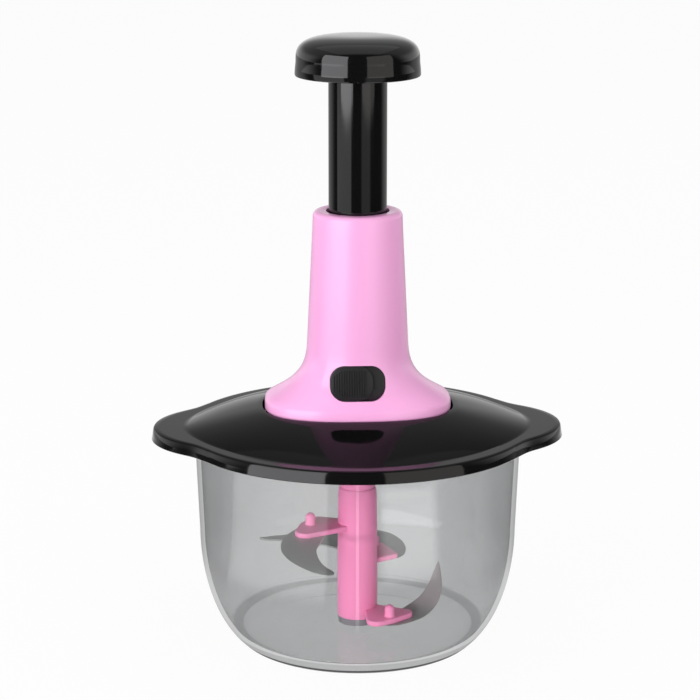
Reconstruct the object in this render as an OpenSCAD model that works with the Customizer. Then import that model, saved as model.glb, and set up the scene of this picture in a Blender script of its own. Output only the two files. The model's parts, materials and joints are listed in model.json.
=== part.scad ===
// Hand press food chopper: smoke clear bowl, domed lid with two ears, bell tower, push tube and
// mushroom knob, and the twist drive that turns three sickle blades when the knob is pressed.
// Millimetres. Origin: bottom centre of the bowl. Z is up, the ears lie along X, the lock faces -Y.

/* [Bowl] */
// Radius of the bowl where it stands
bowl_base_r = 58.5; // [40:0.5:90]
// Height of the knee where the curved foot becomes the straight wall
bowl_knee_z = 56.9; // [30:0.1:90]
// Outer radius at the knee
bowl_knee_r = 79; // [60:0.5:110]
// Outer radius at the top edge
bowl_top_r = 80.9; // [62:0.1:115]
// Height of the bowl, from the table to its top edge
bowl_h = 106; // [80:1:160]
// Wall of the bowl
bowl_wall = 2.3; // [1.5:0.1:4]
// How far the lower curve bulges, as the half width of its ellipse
bowl_bulge = 31.6; // [24:0.1:50]
// Height of the inner floor above the table
bowl_floor_z = 5.5; // [4:0.1:12]
// Width of the ring that the bowl stands on
foot_w = 5.5; // [2:0.5:10]
// Depth of the hollow inside that ring
foot_h = 1.2; // [0.4:0.1:3]
// Radius of the low boss that holds the pivot pin
pin_boss_r = 5.2; // [4.5:0.1:8]
// Height of that boss above the floor
pin_boss_h = 1.8; // [1:0.1:3]
// Radius of the steel pivot pin
pin_r = 3; // [2:0.1:4]
// Length of the pin above the bowl floor
pin_l = 28.5; // [12:0.5:45]

/* [Lid] */
// Half width of the lid at its lower edge, front to back
lid_r = 83.5; // [65:0.1:118]
// Half length of the oval the edge follows between the ears
lid_x = 87.2; // [66:0.1:120]
// Squareness of that oval
lid_n = 2; // [1.6:0.05:3]
// How far the lid edge leans in towards its top
lid_draft = 0.9; // [0:0.1:2]
// Height of the lid edge
lid_edge_h = 6; // [4:0.1:12]
// How far the lid edge hangs over the top of the bowl
lid_overlap = 2.4; // [1:0.1:5]
// Wall of the lid
lid_wall = 2.4; // [1.5:0.1:3.5]
// Reach of each ear from the centre
ear_reach = 101.6; // [90:0.1:140]
// Radius of the rounded end of each ear
ear_r = 34.8; // [20:0.1:50]
// Softness of the hollow curve between ear and lid edge
ear_blend = 6.3; // [1:0.1:15]
// Half length of the oval dome, towards the ears
dome_x = 85.4; // [60:0.1:92]
// Half width of the oval dome, front to back
dome_y = 76; // [55:0.1:80]
// Squareness of the dome's outline at its crease
dome_n = 1.75; // [1.6:0.05:3]
// Rise of the dome from its crease to the tower seat
dome_h = 10.4; // [4:0.1:30]
// Bulge of the dome above a straight slope
dome_bulge = 0.9; // [0:0.1:5]

/* [Tower] */
// Height of the tower above its seat in the lid
tower_h = 98.6; // [80:0.1:140]
// Radius of the tower just under its rounded top
tower_top_r = 21.9; // [20:0.1:30]
// How much wider the straight part of the tower gets for each millimetre down
tower_taper = 0.05; // [0.02:0.01:0.1]
// Half length of the oval base flange
flange_x = 45.8; // [36:0.1:52]
// Half width of the oval base flange
flange_y = 32.6; // [30:0.1:42]
// Squareness of the flange oval, 2 is an ellipse
flange_n = 2.6; // [2:0.1:3.5]
// Height over which the bell flares out
flare_h = 36; // [24:1:48]
// Thickness of the lip round the flange
flange_lip = 2.6; // [1.5:0.1:4]
// Wall of the tower
tower_wall = 2.4; // [1.5:0.1:3.5]
// Gap between the flange and the recess that it sits in
recess_gap = 1.3; // [0.3:0.1:3]
// Depth of that recess
recess_d = 1.2; // [0.5:0.1:3]
// Radius of the opening at the top of the tower
tower_hole_r = 15.4; // [14.6:0.1:18]
// Radius of the rounded edge at the top of the tower
tower_round = 2.6; // [1:0.1:5]

/* [Plunger] */
// Outer radius of the push tube
tube_r = 14.2; // [13:0.1:16]
// Wall of the push tube
tube_wall = 2.1; // [1.4:0.1:3]
// Travel of the plunger
stroke = 64; // [40:0.5:66]
// Gap left between knob and tower when it is pressed right down
knob_stop = 1.4; // [0.6:0.1:4]
// Greatest radius of the knob
knob_r = 30.4; // [24:0.1:45]
// Height of the knob
knob_h = 19.6; // [14:0.1:35]
// Height of the shoulder where the knob starts to round over
knob_shoulder = 7.1; // [3:0.1:15]
// Squareness of the rounded crown
knob_square = 3.3; // [2:0.1:5]
// Wall of the knob
knob_wall = 2.5; // [1.5:0.1:4]
// Width of the guide lugs on the drive nut
lug_w = 5; // [3:0.1:8]
// Reach of the guide lugs from the axis
lug_reach = 18.4; // [17:0.1:19.5]

/* [Twist drive] */
// Side of the square spiral rod
rod_side = 7; // [5:0.1:9]
// Travel that gives one full turn
rod_lead = 40; // [30:1:80]
// Radius of the round lower part of the rod
journal_r = 5.2; // [5:0.1:7]
// Radius of the two ratchet discs
ratchet_r = 15; // [12:0.5:18]
// Number of teeth on each ratchet disc
ratchet_teeth = 8; // [6:1:10]
// Height of the ratchet teeth
tooth_h = 2.4; // [1.5:0.1:4]
// Across flats of the hexagon that drives the blade hub
hex_af = 10; // [8:0.1:11]
// Length of the hexagon in the hub
hex_l = 14; // [8:0.5:18]
// Radius of the round part of the output shaft
output_r = 7.4; // [6.6:0.1:9]
// Wire radius of the return spring
wire_r = 0.7; // [0.5:0.05:0.9]
// Mean radius of the return spring
coil_r = 9.6; // [8:0.1:10]
// Turns of the return spring
coil_turns = 11; // [8:1:12]

/* [Lock switch] */
// Length of the opening for the lock switch
switch_w = 27; // [22:0.1:32]
// Height of the opening
switch_h = 17.3; // [12:0.1:20]
// Corner radius of the opening
switch_r = 7.3; // [3:0.1:8]
// Height of its centre above the tower seat
switch_z = 18.2; // [15:0.1:23]
// Distance of its centre to one side of the tower's middle
switch_x = -1.4; // [-3:0.1:3]
// Lean of the switch face
switch_tilt = 10; // [0:1:20]
// Travel of the lock button
lock_travel = 6; // [3:0.5:8]
// Length of the ribbed button
button_w = 20.6; // [14:0.1:24]
// Pitch of the ribs on the button
rib_pitch = 1.2; // [0.8:0.1:2]

/* [Blade hub] */
// Radius of the blade hub
hub_r = 10.1; // [9:0.1:13]
// Radius of the neck above its shoulder
hub_neck_r = 8.7; // [8.2:0.1:11]
// Height of the shoulder above the table
hub_shoulder_z = 77; // [66:0.5:82]
// Gap between the hub foot and the bowl floor
hub_lift = 0.4; // [0.3:0.05:1.5]
// Height of the grey ring under the hub
foot_ring_h = 3.2; // [2:0.1:5]
// Distance of the blade pegs from the axis
peg_pos = 24; // [18:0.1:30]
// Radius of the blade pegs
peg_r = 2.5; // [1.8:0.1:3.5]
// Height of the domed pegs above their arms
peg_h = 6; // [3:0.1:8]
// Thickness of the arms
arm_t = 2.7; // [2:0.1:4]
// Height of the top face of the low arm
arm_low_z = 14.5; // [13:0.1:24]
// Height of the top face of the middle arm
arm_mid_z = 38.2; // [30:0.1:44]
// Height of the top face of the high arm
arm_high_z = 58.4; // [52:0.1:64]
// Direction of the low arm
arm_low_a = -51.2; // [-70:0.1:-30]
// Direction of the middle arm
arm_mid_a = 65.3; // [50:0.1:90]
// Direction of the high arm
arm_high_a = 187.8; // [170:0.1:210]

/* [Blades] */
// Thickness of the blades
blade_t = 1; // [0.6:0.1:1.8]
// Length of the high and middle blades against the outlines in their modules
blade_scale = 1; // [0.85:0.01:1.02]
// Distance from the peg to the start of its upward bend
low_bend_at = 14.2; // [12:0.1:20]
// Angle by which the outer part of the high blade is turned up
blade_lift = 8; // [0:1:25]
// Distance of that fold from the axis
blade_fold = 33.5; // [30:0.5:38]
// Radius of the upward bend of the low blade
low_bend_r = 14; // [8:0.5:30]
// Angle of that bend
low_bend_a = 68; // [20:1:72]

/* [Fits] */
// Gap between a shaft and its bush, on the radius
run_gap = 0.06; // [0.02:0.01:0.1]
// Gap between pieces that move past each other
slide_gap = 0.35; // [0.3:0.05:0.6]
// Gap between pieces that are fixed together
seat_gap = 0.05; // [0:0.01:0.1]

/* [Fasteners] */
// Length of the screws that hold the tower
tower_screw_l = 9; // [7:0.5:14]
// Radius of the head of those screws
tower_screw_head_r = 3; // [2:0.1:3.6]
// Height of that head
tower_screw_head_h = 2; // [1:0.1:3]
// Length of the screws that hold the gear cover
cover_screw_l = 9; // [6:0.5:11]
// Radius of the head of those screws
cover_screw_head_r = 2.6; // [2:0.1:3.4]
// Height of that head
cover_screw_head_h = 1.6; // [1:0.1:3]
// Radius of the thread of all these screws
screw_r = 1.25; // [0.8:0.05:1.6]
// Wall of the gear housing round the ratchet
housing_wall = 3.4; // [2:0.1:5]
// Radius of the posts that take the screws
post_r = 4; // [3:0.1:5]

/* [Hidden] */

black = [0.06, 0.06, 0.07];
pink = [0.95, 0.66, 0.85];
smoke = [0.7, 0.71, 0.71, 0.45];
steel = [0.72, 0.73, 0.74];
white = [0.93, 0.93, 0.91];
grey = [0.55, 0.56, 0.57];

// Heights that follow from the sizes above
lid_z = bowl_h - lid_overlap;
land_z = lid_z + lid_edge_h;
seat_z = land_z + dome_h - recess_d;
plate_z = seat_z - lid_wall;
tower_z = seat_z + 0.02;
tower_top_z = tower_z + tower_h;
knob_z = tower_top_z + knob_stop + stroke;
knob_top_z = knob_z + knob_h;
tube_top_z = knob_top_z - knob_wall - 0.6;
tube_bore_r = tube_r - tube_wall;
nut_flange_h = 3.5;
nut_low_z = seat_z + 1.8 + stroke;
nut_top_z = nut_low_z + nut_flange_h;
guide_low_z = nut_top_z + slide_gap;
guide_top_z = tower_top_z - tower_wall - 0.2;

// Drive under the lid, from the top down
bush_h = 6;
bush_low_z = seat_z - bush_h;
washer_t = 0.8;
ratchet_top_z = bush_low_z - washer_t - 0.1;
disc_t = 3;
mesh_z = ratchet_top_z - disc_t - 2.2;
driven_top_z = mesh_z - tooth_h - 0.5;
driven_low_z = driven_top_z - disc_t;
cover_t = 2.5;
cover_top_z = driven_low_z - slide_gap - 0.8;
cover_low_z = cover_top_z - cover_t;
hub_top_z = cover_low_z - 1.8;
hub_foot_z = bowl_floor_z + hub_lift;
hub_low_z = hub_foot_z + foot_ring_h;
socket_z = hub_top_z - hex_l - 0.8;

function soft_min(a, b, k) = (a + b - sqrt((a - b) * (a - b) + k * k)) / 2;

// Bell: half width and half depth at a height above the seat
flare_full = 30.7 * (flange_x - 26.4) / 19.4;
function straight(h) = tower_top_r + tower_taper * (tower_h - 3.6 - h);
function flare(h) = h >= flare_h ? 0 : flare_full * pow(1 - max(0, h - recess_d) / (flare_h - recess_d), 3.25);
function flare_y_part() = (flange_y - straight(0)) / (flange_x - straight(0));
function bell_x(h) = soft_min(straight(h) + flare(h), flange_x + 0.3, 1.6);
function bell_y(h) = soft_min(straight(h) + flare(h) * flare_y_part(), flange_y + 0.3, 1.6);
function bell_n(h) = 2 + (flange_n - 2) * min(1, flare(h) / (0.6 * flare_full));
function bell_wall(h) = tower_wall * sqrt(1 + pow((flare(h) - flare(h + 1)), 2));

// One point of an oval whose squareness is n
function oval_point(a, b, n, t) = [
  a * sign(cos(t)) * pow(abs(cos(t)), 2 / n),
  b * sign(sin(t)) * pow(abs(sin(t)), 2 / n)];
function oval(a, b, n, count = 64) = [for (i = [0:count - 1]) oval_point(a, b, n, 360 * (i + 0.5) / count)];

// Solid through a list of ovals, each [height, half width, half depth, squareness]
module loft(rings, count = 64) {
  rows = len(rings);
  points = [for (r = rings) for (i = [0:count - 1])
    let (p = oval_point(r[1], r[2], r[3], 360 * (i + 0.5) / count)) [p[0], p[1], r[0]]];
  sides = [for (k = [0:rows - 2]) for (i = [0:count - 1])
    let (j = (i + 1) % count, a = k * count + i, b = k * count + j, c = a + count, d = b + count)
    each [[a, c, b], [b, c, d]]];
  low = [[for (i = [0:count - 1]) i]];
  high = [[for (i = [count - 1:-1:0]) (rows - 1) * count + i]];
  polyhedron(concat(low, sides, high) == [] ? [] : points, concat(low, sides, high), convexity = 6);
}

// Ring on the axis between two heights
module ring(z0, z1, outer, inner) {
  translate([0, 0, z0]) difference() {
    cylinder(h = z1 - z0, r = outer, $fn = 96);
    translate([0, 0, -1]) cylinder(h = z1 - z0 + 2, r = inner, $fn = 96);
  }
}

module rod_between(z0, z1, r) { translate([0, 0, z0]) cylinder(h = z1 - z0, r = r, $fn = 96); }

// Bowl
bowl_curve_h = bowl_knee_z / sqrt(1 - pow((bowl_base_r - bowl_knee_r + bowl_bulge) / bowl_bulge, 2));
function bowl_out(z) = z < bowl_knee_z
  ? bowl_knee_r - bowl_bulge + bowl_bulge * sqrt(1 - pow((bowl_knee_z - z) / bowl_curve_h, 2))
  : bowl_knee_r + (bowl_top_r - bowl_knee_r) * (z - bowl_knee_z) / (bowl_h - bowl_knee_z);
function bowl_lean(z) = (bowl_out(z + 0.2) - bowl_out(z - 0.2)) / 0.4;
function bowl_in(z) = bowl_out(z) - bowl_wall * sqrt(1 + pow(bowl_lean(z), 2));
bowl_steps = 18;
bowl_zs = [for (i = [0:bowl_steps]) bowl_knee_z * pow(i / bowl_steps, 1.35)];
floor_edge_z = bowl_floor_z + 2.2;

module bowl() {
  color(smoke) union() {
    rotate_extrude($fn = 180) polygon(concat(
      [[0, foot_h], [bowl_base_r * 0.4, foot_h * 0.94], [bowl_base_r * 0.62, foot_h * 0.72],
       [bowl_base_r * 0.78, foot_h * 0.38], [bowl_base_r - foot_w - 2, foot_h * 0.1], [bowl_base_r - foot_w, 0],
       [bowl_base_r - 0.4, 0]],
      [for (i = [1:bowl_steps]) [bowl_out(bowl_zs[i]), bowl_zs[i]]],
      [[bowl_top_r, bowl_h - 0.5], [bowl_top_r - 0.5, bowl_h], [bowl_top_r - bowl_wall + 0.4, bowl_h],
       [bowl_top_r - bowl_wall, bowl_h - 0.4]],
      [for (i = [bowl_steps:-1:1]) if (bowl_zs[i] > floor_edge_z) [bowl_in(bowl_zs[i]), bowl_zs[i]]],
      [[bowl_in(floor_edge_z), floor_edge_z], [bowl_in(floor_edge_z) - 1.9, bowl_floor_z + 0.7],
       [bowl_in(floor_edge_z) - 5, bowl_floor_z], [0, bowl_floor_z]]));
    difference() {
      rod_between(bowl_floor_z - 0.5, bowl_floor_z + pin_boss_h, pin_boss_r);
      rod_between(bowl_floor_z - 2, bowl_floor_z + pin_boss_h + 1, pin_r + seat_gap);
    }
  }
}

// Steel pin standing in the boss
module pivot_pin() {
  color(steel) rotate_extrude($fn = 64) polygon([[0, bowl_floor_z + 0.02], [pin_r, bowl_floor_z + 0.02],
    [pin_r, bowl_floor_z + pin_l - 0.8], [pin_r - 0.8, bowl_floor_z + pin_l], [0, bowl_floor_z + pin_l]]);
}

// Hub with its three arms and pegs
module hub_foot_ring() {
  color(grey) union() {
    ring(hub_foot_z, hub_low_z, hub_r - 0.4, pin_boss_r + slide_gap + 0.2);
    ring(hub_low_z - 0.5, hub_low_z + 2.5, hub_r - 2.6, pin_boss_r + slide_gap + 0.2);
  }
}

// Its lobes are circles, each [angle from the peg, distance from the axis, radius]
low_lobes = [[20, 8.5, 4], [-18, 23.4, 5], [22, 26.3, 4], [0, 24, 4.6]];
mid_lobes = [[0, 3, 6], [-40, 20.5, 2.4], [20, 27, 5], [0, 24, 5.5]];
high_lobes = [[8, 6.3, 6], [-28.4, 20.7, 2], [18.6, 29.5, 5.5], [0, 24, 5.5]];
module arm(angle, top_z, lobes) {
  translate([0, 0, top_z - arm_t]) rotate(angle) linear_extrude(arm_t) hull() {
    for (c = lobes) translate([c[1] * cos(c[0]), c[1] * sin(c[0])]) circle(r = c[2], $fn = 32);
  }
  rotate(angle) translate([peg_pos, 0, 0]) peg(top_z);
}

// Peg that goes down through the blade and ends in a dome above the arm
module peg(top_z) {
  rotate_extrude($fn = 48) polygon(concat([[0, top_z - arm_t - blade_t - 0.7]],
    [[peg_r - 0.3, top_z - arm_t - blade_t - 0.7], [peg_r - 0.3, top_z - arm_t + 0.2], [peg_r, top_z - 0.4]],
    [for (i = [0:5]) [peg_r * cos(i * 15), top_z + peg_h - peg_r + peg_r * sin(i * 15)]],
    [[0, top_z + peg_h]]));
}

module blade_hub() {
  color(pink) difference() {
    union() {
      rotate_extrude($fn = 96) polygon(concat([[0, hub_low_z], [hub_r, hub_low_z], [hub_r, hub_low_z + 30],
        [hub_r - 0.35, hub_shoulder_z - 7.5]],
        [for (i = [0:6]) [hub_neck_r + (hub_r - 0.35 - hub_neck_r) * cos(i * 15), hub_shoulder_z - 5.5 + 5.5 * sin(i * 15)]],
        [[hub_neck_r - 0.15, hub_top_z - 0.6], [hub_neck_r - 0.75, hub_top_z], [0, hub_top_z]]));
      arm(arm_low_a, arm_low_z, low_lobes);
      arm(arm_mid_a, arm_mid_z, mid_lobes);
      arm(arm_high_a, arm_high_z, high_lobes);
    }
    rod_between(hub_low_z - 1, bowl_floor_z + pin_l + slide_gap, pin_r + run_gap);
    rod_between(hub_low_z - 1, hub_low_z + 2.6, hub_r - 2.6 + seat_gap);
    translate([0, 0, socket_z]) rotate(30) cylinder(h = hub_top_z, r = (hex_af / 2 + 0.15) / cos(30), $fn = 6);
  }
}

// Blades, drawn with the peg at peg_pos along X and the tip towards +Y
high_outer = [[24, -6.5], [29.5, -4.6], [33, -1.2], [38, 8], [41.1, 16.2], [43, 24], [43.8, 30.5], [43.9, 35.5],
  [43.3, 41.2], [42, 46.4], [39.8, 51.8], [37, 56.6], [33.9, 61], [30.8, 64.5], [28, 66.6], [25.4, 66.7], [24.2, 65]];
high_inner = [[24.7, 62.4], [26.2, 58.2], [27.5, 51.7], [27.8, 44.3], [27.4, 37], [26.5, 31.1], [25.2, 26.8],
  [23.2, 22], [19.6, 12.5], [17.4, 6], [17, 0], [19.3, -5]];
mid_outer = [[17.5, -13.6], [20.8, -15.7], [26.2, -15.8], [34.6, -13.4], [42.4, -9.3], [48.3, -4.6], [53.1, 1.1],
  [55.6, 6.5], [56.2, 12.5], [55.4, 20], [53, 28], [49, 35.5], [43.5, 42.4], [37.5, 48], [31.4, 53],
  [28, 57.3], [24.9, 60.8], [21.5, 63], [20, 62.6]];
mid_inner = [[19.3, 60], [20, 56.5], [21.2, 51.5], [22.5, 45], [23, 38], [22.6, 31], [21.5, 24], [19.4, 17.5],
  [17.4, 10], [16.4, 2], [16, -6]];
low_outer = [[24, -7], [28.6, -4.4], [31, 0], [31.8, 8], [31.5, 15], [31.6, 20.7], [32, 23.9], [32.3, 26.4], [32, 28],
  [30.9, 29.6], [28.9, 30.9], [26.9, 32.2], [24.4, 33.4]];
low_inner = [[23.6, 32.2], [22.9, 30.4], [22.3, 28.9], [20.9, 27.5], [18.9, 25.2], [16.7, 22.1], [15.6, 18.2], [15.6, 11.9],
  [16.4, 4], [18.6, -3.6]];

// Smooth closed outline through points
function between(a, b, c, d, t) = 0.5 * (2 * b + (c - a) * t + (2 * a - 5 * b + 4 * c - d) * t * t
  + (3 * b - a - 3 * c + d) * t * t * t);
function smooth(p, parts = 3) = let (n = len(p)) [for (i = [0:n - 1]) for (k = [0:parts - 1])
  between(p[(i + n - 1) % n], p[i], p[(i + 1) % n], p[(i + 2) % n], k / parts)];

module blade_plan(outer, inner) {
  difference() {
    polygon(smooth(concat(outer, inner)));
    translate([peg_pos, 0]) circle(r = peg_r - 0.3 + seat_gap, $fn = 48);
  }
}

module high_blade() {
  color(steel) rotate(arm_high_a) translate([0, 0, arm_high_z - arm_t]) intersection() {
    translate([0, 0, -blade_t - 1]) linear_extrude(30) scale([1, blade_scale]) blade_plan(high_outer, high_inner);
    translate([0, 80, 0]) rotate([90, 0, 0]) linear_extrude(110) polygon([[0, -blade_t], [blade_fold, -blade_t],
      [blade_fold + 30 * cos(blade_lift), 30 * sin(blade_lift) - blade_t],
      [blade_fold + 30 * cos(blade_lift) - blade_t * sin(blade_lift), 30 * sin(blade_lift)], [blade_fold, 0], [0, 0]]);
  }
}

module middle_blade() {
  color(steel) rotate(arm_mid_a) translate([0, 0, arm_mid_z - arm_t - blade_t])
    linear_extrude(blade_t) scale([1, blade_scale]) blade_plan(mid_outer, mid_inner);
}

module low_blade() {
  z0 = arm_low_z - arm_t;
  bend = [for (i = [0:10]) i * low_bend_a / 10];
  out = low_bend_r;
  inn = low_bend_r - blade_t;
  run = 30;
  color(steel) rotate(arm_low_a) translate([0, 0, z0]) intersection() {
    translate([0, 0, -blade_t - 1]) linear_extrude(60) blade_plan(low_outer, low_inner);
    rotate([90, 0, 90]) linear_extrude(80) polygon(concat([[-20, 0], [-20, -blade_t]],
      [for (a = bend) [low_bend_at + out * sin(a), out * (1 - cos(a)) - blade_t]],
      [[low_bend_at + out * sin(low_bend_a) + run * cos(low_bend_a), out * (1 - cos(low_bend_a)) - blade_t + run * sin(low_bend_a)],
       [low_bend_at + inn * sin(low_bend_a) + run * cos(low_bend_a), out - inn * cos(low_bend_a) - blade_t + run * sin(low_bend_a)]],
      [for (i = [10:-1:0]) [low_bend_at + inn * sin(bend[i]), out - inn * cos(bend[i]) - blade_t]]));
  }
}

// Lid
boss_r = ratchet_r + 1 + housing_wall;
recess_x = flange_x + recess_gap;
recess_y = flange_y + recess_gap;

// Distance of the rim from the axis in a direction: an oval with a lobe blended in at each side
function rim_base(inset, t) = pow(pow(abs(cos(t)) / (lid_x - inset), lid_n) + pow(abs(sin(t)) / (lid_r - inset), lid_n), -1 / lid_n);
function rim_lobe(inset, t) = let (cx = ear_reach - ear_r, d = pow(ear_r - inset, 2) - pow(cx * sin(t), 2))
  cx * abs(cos(t)) + (d > 0 ? sqrt(d) : 0);
function rim_r(inset, t) = let (a = rim_base(inset, t), b = rim_lobe(inset, t))
  (a + b + sqrt((a - b) * (a - b) + ear_blend * ear_blend)) / 2;
function rim(inset, count = 144) = [for (i = [0:count - 1]) let (t = 360 * i / count) rim_r(inset, t) * [cos(t), sin(t)]];

// Solid through rings of points, each [height, points]
module skin(rings) {
  count = len(rings[0][1]);
  rows = len(rings);
  polyhedron([for (r = rings) for (q = r[1]) [q[0], q[1], r[0]]], concat(
    [[for (i = [0:count - 1]) i]],
    [for (k = [0:rows - 2]) for (i = [0:count - 1])
      let (j = (i + 1) % count, a = k * count + i, b = k * count + j, c = a + count, d = b + count)
      each [[a, c, b], [b, c, d]]],
    [[for (i = [count - 1:-1:0]) (rows - 1) * count + i]]), convexity = 6);
}

function dome_ring(u, drop, inset) = let (a = dome_x + (recess_x - dome_x) * u, b = dome_y + (recess_y - dome_y) * u)
  [land_z - drop + (dome_h + 0.01) * u + dome_bulge * 4 * u * (1 - u), a - inset, b - inset, dome_n + (flange_n - dome_n) * u];

module lid_cover() {
  plug_r = bowl_top_r - bowl_wall - 0.5;
  groove_r = bowl_top_r + slide_gap;
  color(black) difference() {
    union() {
      difference() {
        union() {
          skin([[lid_z, rim(0)], [land_z - 0.9, rim(lid_draft)], [land_z - 0.25, rim(lid_draft + 0.35)],
            [land_z, rim(lid_draft + 1)]]);
          loft([for (i = [0:5]) dome_ring(i / 5, i == 0 ? 0.6 : 0, 0)]);
        }
        ring(lid_z - 1, bowl_h + 0.1, groove_r, plug_r);
        rod_between(lid_z - 1, lid_z + 0.6, groove_r - 1);
        rod_between(lid_z - 1, land_z - lid_wall, plug_r - 2.1);
        difference() {
          translate([0, 0, lid_z - 1]) linear_extrude(1 + lid_edge_h - lid_wall) polygon(rim(lid_wall));
          rod_between(lid_z - 2, land_z, groove_r + lid_wall);
        }
        intersection() {
          loft(concat([[lid_z, dome_x - 6, dome_y - 6, dome_n]],
            [for (i = [0:5]) dome_ring(i / 5 * 0.92, lid_wall, 2.6)]));
          rod_between(lid_z - 5, seat_z, plug_r - 4.1);
        }
        translate([0, 0, seat_z]) linear_extrude(20) polygon(oval(recess_x, recess_y, flange_n));
      }
      translate([0, 0, plate_z]) linear_extrude(lid_wall) polygon(oval(recess_x + 1.2, recess_y + 1.2, flange_n));
      rod_between(cover_top_z, plate_z + 0.5, boss_r);
      for (a = [30, 150, 270]) rotate(a) translate([boss_r + 2, 0, 0]) rod_between(cover_top_z, plate_z + 0.5, post_r);
    }
    rod_between(cover_top_z - 1, bush_low_z, ratchet_r + 1);
    rod_between(cover_top_z - 1, seat_z + 1, journal_r + 2.5);
    for (a = [30, 150, 270]) rotate(a) translate([boss_r + 2, 0, 0])
      rod_between(cover_top_z - 1, cover_low_z + cover_screw_l + 2.5, screw_r + 0.05);
    for (x = [-1, 1]) for (y = [-1, 1]) translate([x * screw_x, y * screw_y, 0])
      rod_between(plate_z - 1, seat_z + 1, screw_r + 0.65);
  }
}

// Tower
screw_x = flange_x - 12.5;
screw_y = flange_y - 20;
function tower_ring(h, inset) = [tower_z + h, bell_x(h) - inset, bell_y(h) - inset, bell_n(h)];
flare_hs = [for (i = [0:11]) flange_lip + 0.4 + (flare_h - flange_lip - 0.4) * pow(i / 11, 1.25)];

module switch_frame() {
  translate([switch_x, -bell_y(switch_z), tower_z + switch_z]) rotate([90 - switch_tilt, 0, 0]) children();
}

module pill(w, h, r) {
  square([w - 2 * r, h], center = true);
  square([w, h - 2 * r], center = true);
  for (x = [-1, 1]) for (y = [-1, 1]) translate([x * (w / 2 - r), y * (h / 2 - r)]) circle(r = r, $fn = 64);
}

module tower_shell() {
  top_in_r = straight(tower_h) - tower_wall;
  color(pink) difference() {
    union() {
      difference() {
        union() {
          loft(concat([tower_ring(0, 0.6), tower_ring(0.6, 0)], [for (h = flare_hs) tower_ring(h, 0)]));
          rotate_extrude($fn = 128) polygon(concat([[0, tower_z + flare_h - 0.5],
            [straight(flare_h) + 0.06, tower_z + flare_h - 0.5], [straight(tower_h - 3.6), tower_top_z - 3.6]],
            [for (i = [0:6]) [tower_top_r - tower_round + tower_round * cos(i * 15),
              tower_top_z - tower_round + tower_round * sin(i * 15)]],
            [[0, tower_top_z]]));
        }
        loft(concat([[tower_z - 1, flange_x - tower_wall - 1, flange_y - tower_wall - 1, flange_n]],
          [for (h = [flange_lip, 5, 8, 11, 15, 20, 26, flare_h]) [tower_z + h - tower_wall * 0.6,
            min(bell_x(h) - bell_wall(h), flange_x - tower_wall - 1),
            min(bell_y(h) - tower_wall, flange_y - tower_wall - 1), bell_n(h)]]));
        rotate_extrude($fn = 128) polygon([[0, tower_z + flare_h - 2.4], [straight(flare_h) - tower_wall + 0.1, tower_z + flare_h - 2.4],
          [top_in_r, tower_top_z - tower_wall], [0, tower_top_z - tower_wall]]);
      }
      for (s = [0, 180]) rotate(s) for (y = [-1, 1]) guide_rib(y);
      for (x = [-1, 1]) for (y = [-1, 1]) translate([x * screw_x, y * screw_y, 0])
        rod_between(tower_z, plate_z + tower_screw_l + 1.42, post_r);
    }
    rod_between(tower_top_z - 10, tower_top_z + 1, tower_hole_r);
    for (x = [-1, 1]) for (y = [-1, 1]) translate([x * screw_x, y * screw_y, 0])
      rod_between(tower_z - 1, plate_z + tower_screw_l + 0.42, screw_r + 0.05);
    switch_frame() translate([0, 0, -8]) linear_extrude(20) pill(switch_w, switch_h, switch_r);
  }
}

// Web inside the tower that keeps the nut lug from turning
module guide_rib(side) {
  y0 = side * (lug_w / 2 + slide_gap + 0.8);
  rib_top = nut_low_z - 1 - tower_z + nut_flange_h;
  hs = [for (i = [0:8]) 4 + (rib_top - 4) * pow(i / 8, 1.6)];
  translate([0, y0 + 0.8, tower_z]) rotate([90, 0, 0]) linear_extrude(1.6) polygon(concat(
    [[tube_r + slide_gap + 1.6, rib_top], [tube_r + slide_gap + 1.6, 4]],
    [for (h = hs) [bell_x(h) - tower_wall * 0.6 - 0.9, h - (h < flare_h ? tower_wall * 0.4 : 0)]]));
}

// Screws that hold the tower, put in from below the lid
module screw(z, l, r, head_r, head_h) {
  rod_between(z, z + l, r);
  difference() {
    rod_between(z - head_h, z, head_r);
    for (a = [0, 90]) rotate(a) translate([-head_r * 0.6, -0.45, z - head_h - 1]) cube([head_r * 1.2, 0.9, 2]);
  }
}

module tower_screws() {
  color(steel) for (x = [-1, 1]) for (y = [-1, 1]) translate([x * screw_x, y * screw_y, 0])
    screw(plate_z - 0.02, tower_screw_l, screw_r, tower_screw_head_r, tower_screw_head_h);
}

module tube_guide() {
  color(white) union() {
    ring(guide_low_z, guide_top_z, tube_r + 2.6, tube_r + run_gap);
    difference() {
      ring(guide_top_z - 4, guide_top_z, straight(tower_h) - tower_wall - seat_gap, tube_r + 1);
    }
    for (a = [45:90:315]) rotate(a) translate([tube_r + 1, -1, guide_low_z + 2])
      cube([straight(tower_h) - tower_wall - tube_r - 1.2, 2, guide_top_z - guide_low_z - 4]);
  }
}

// Lock switch
plate_face = -2.1;
module lock_plate() {
  color(black) switch_frame() difference() {
    translate([0, 0, plate_face - 2]) linear_extrude(2) pill(switch_w - 0.2, switch_h - 0.2, switch_r);
    translate([-switch_w / 2 + button_w / 2 + lock_travel / 2 + 0.3, 0, -10])
      linear_extrude(20) square([6 + lock_travel + 0.7, 4.7], center = true);
  }
}

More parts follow.
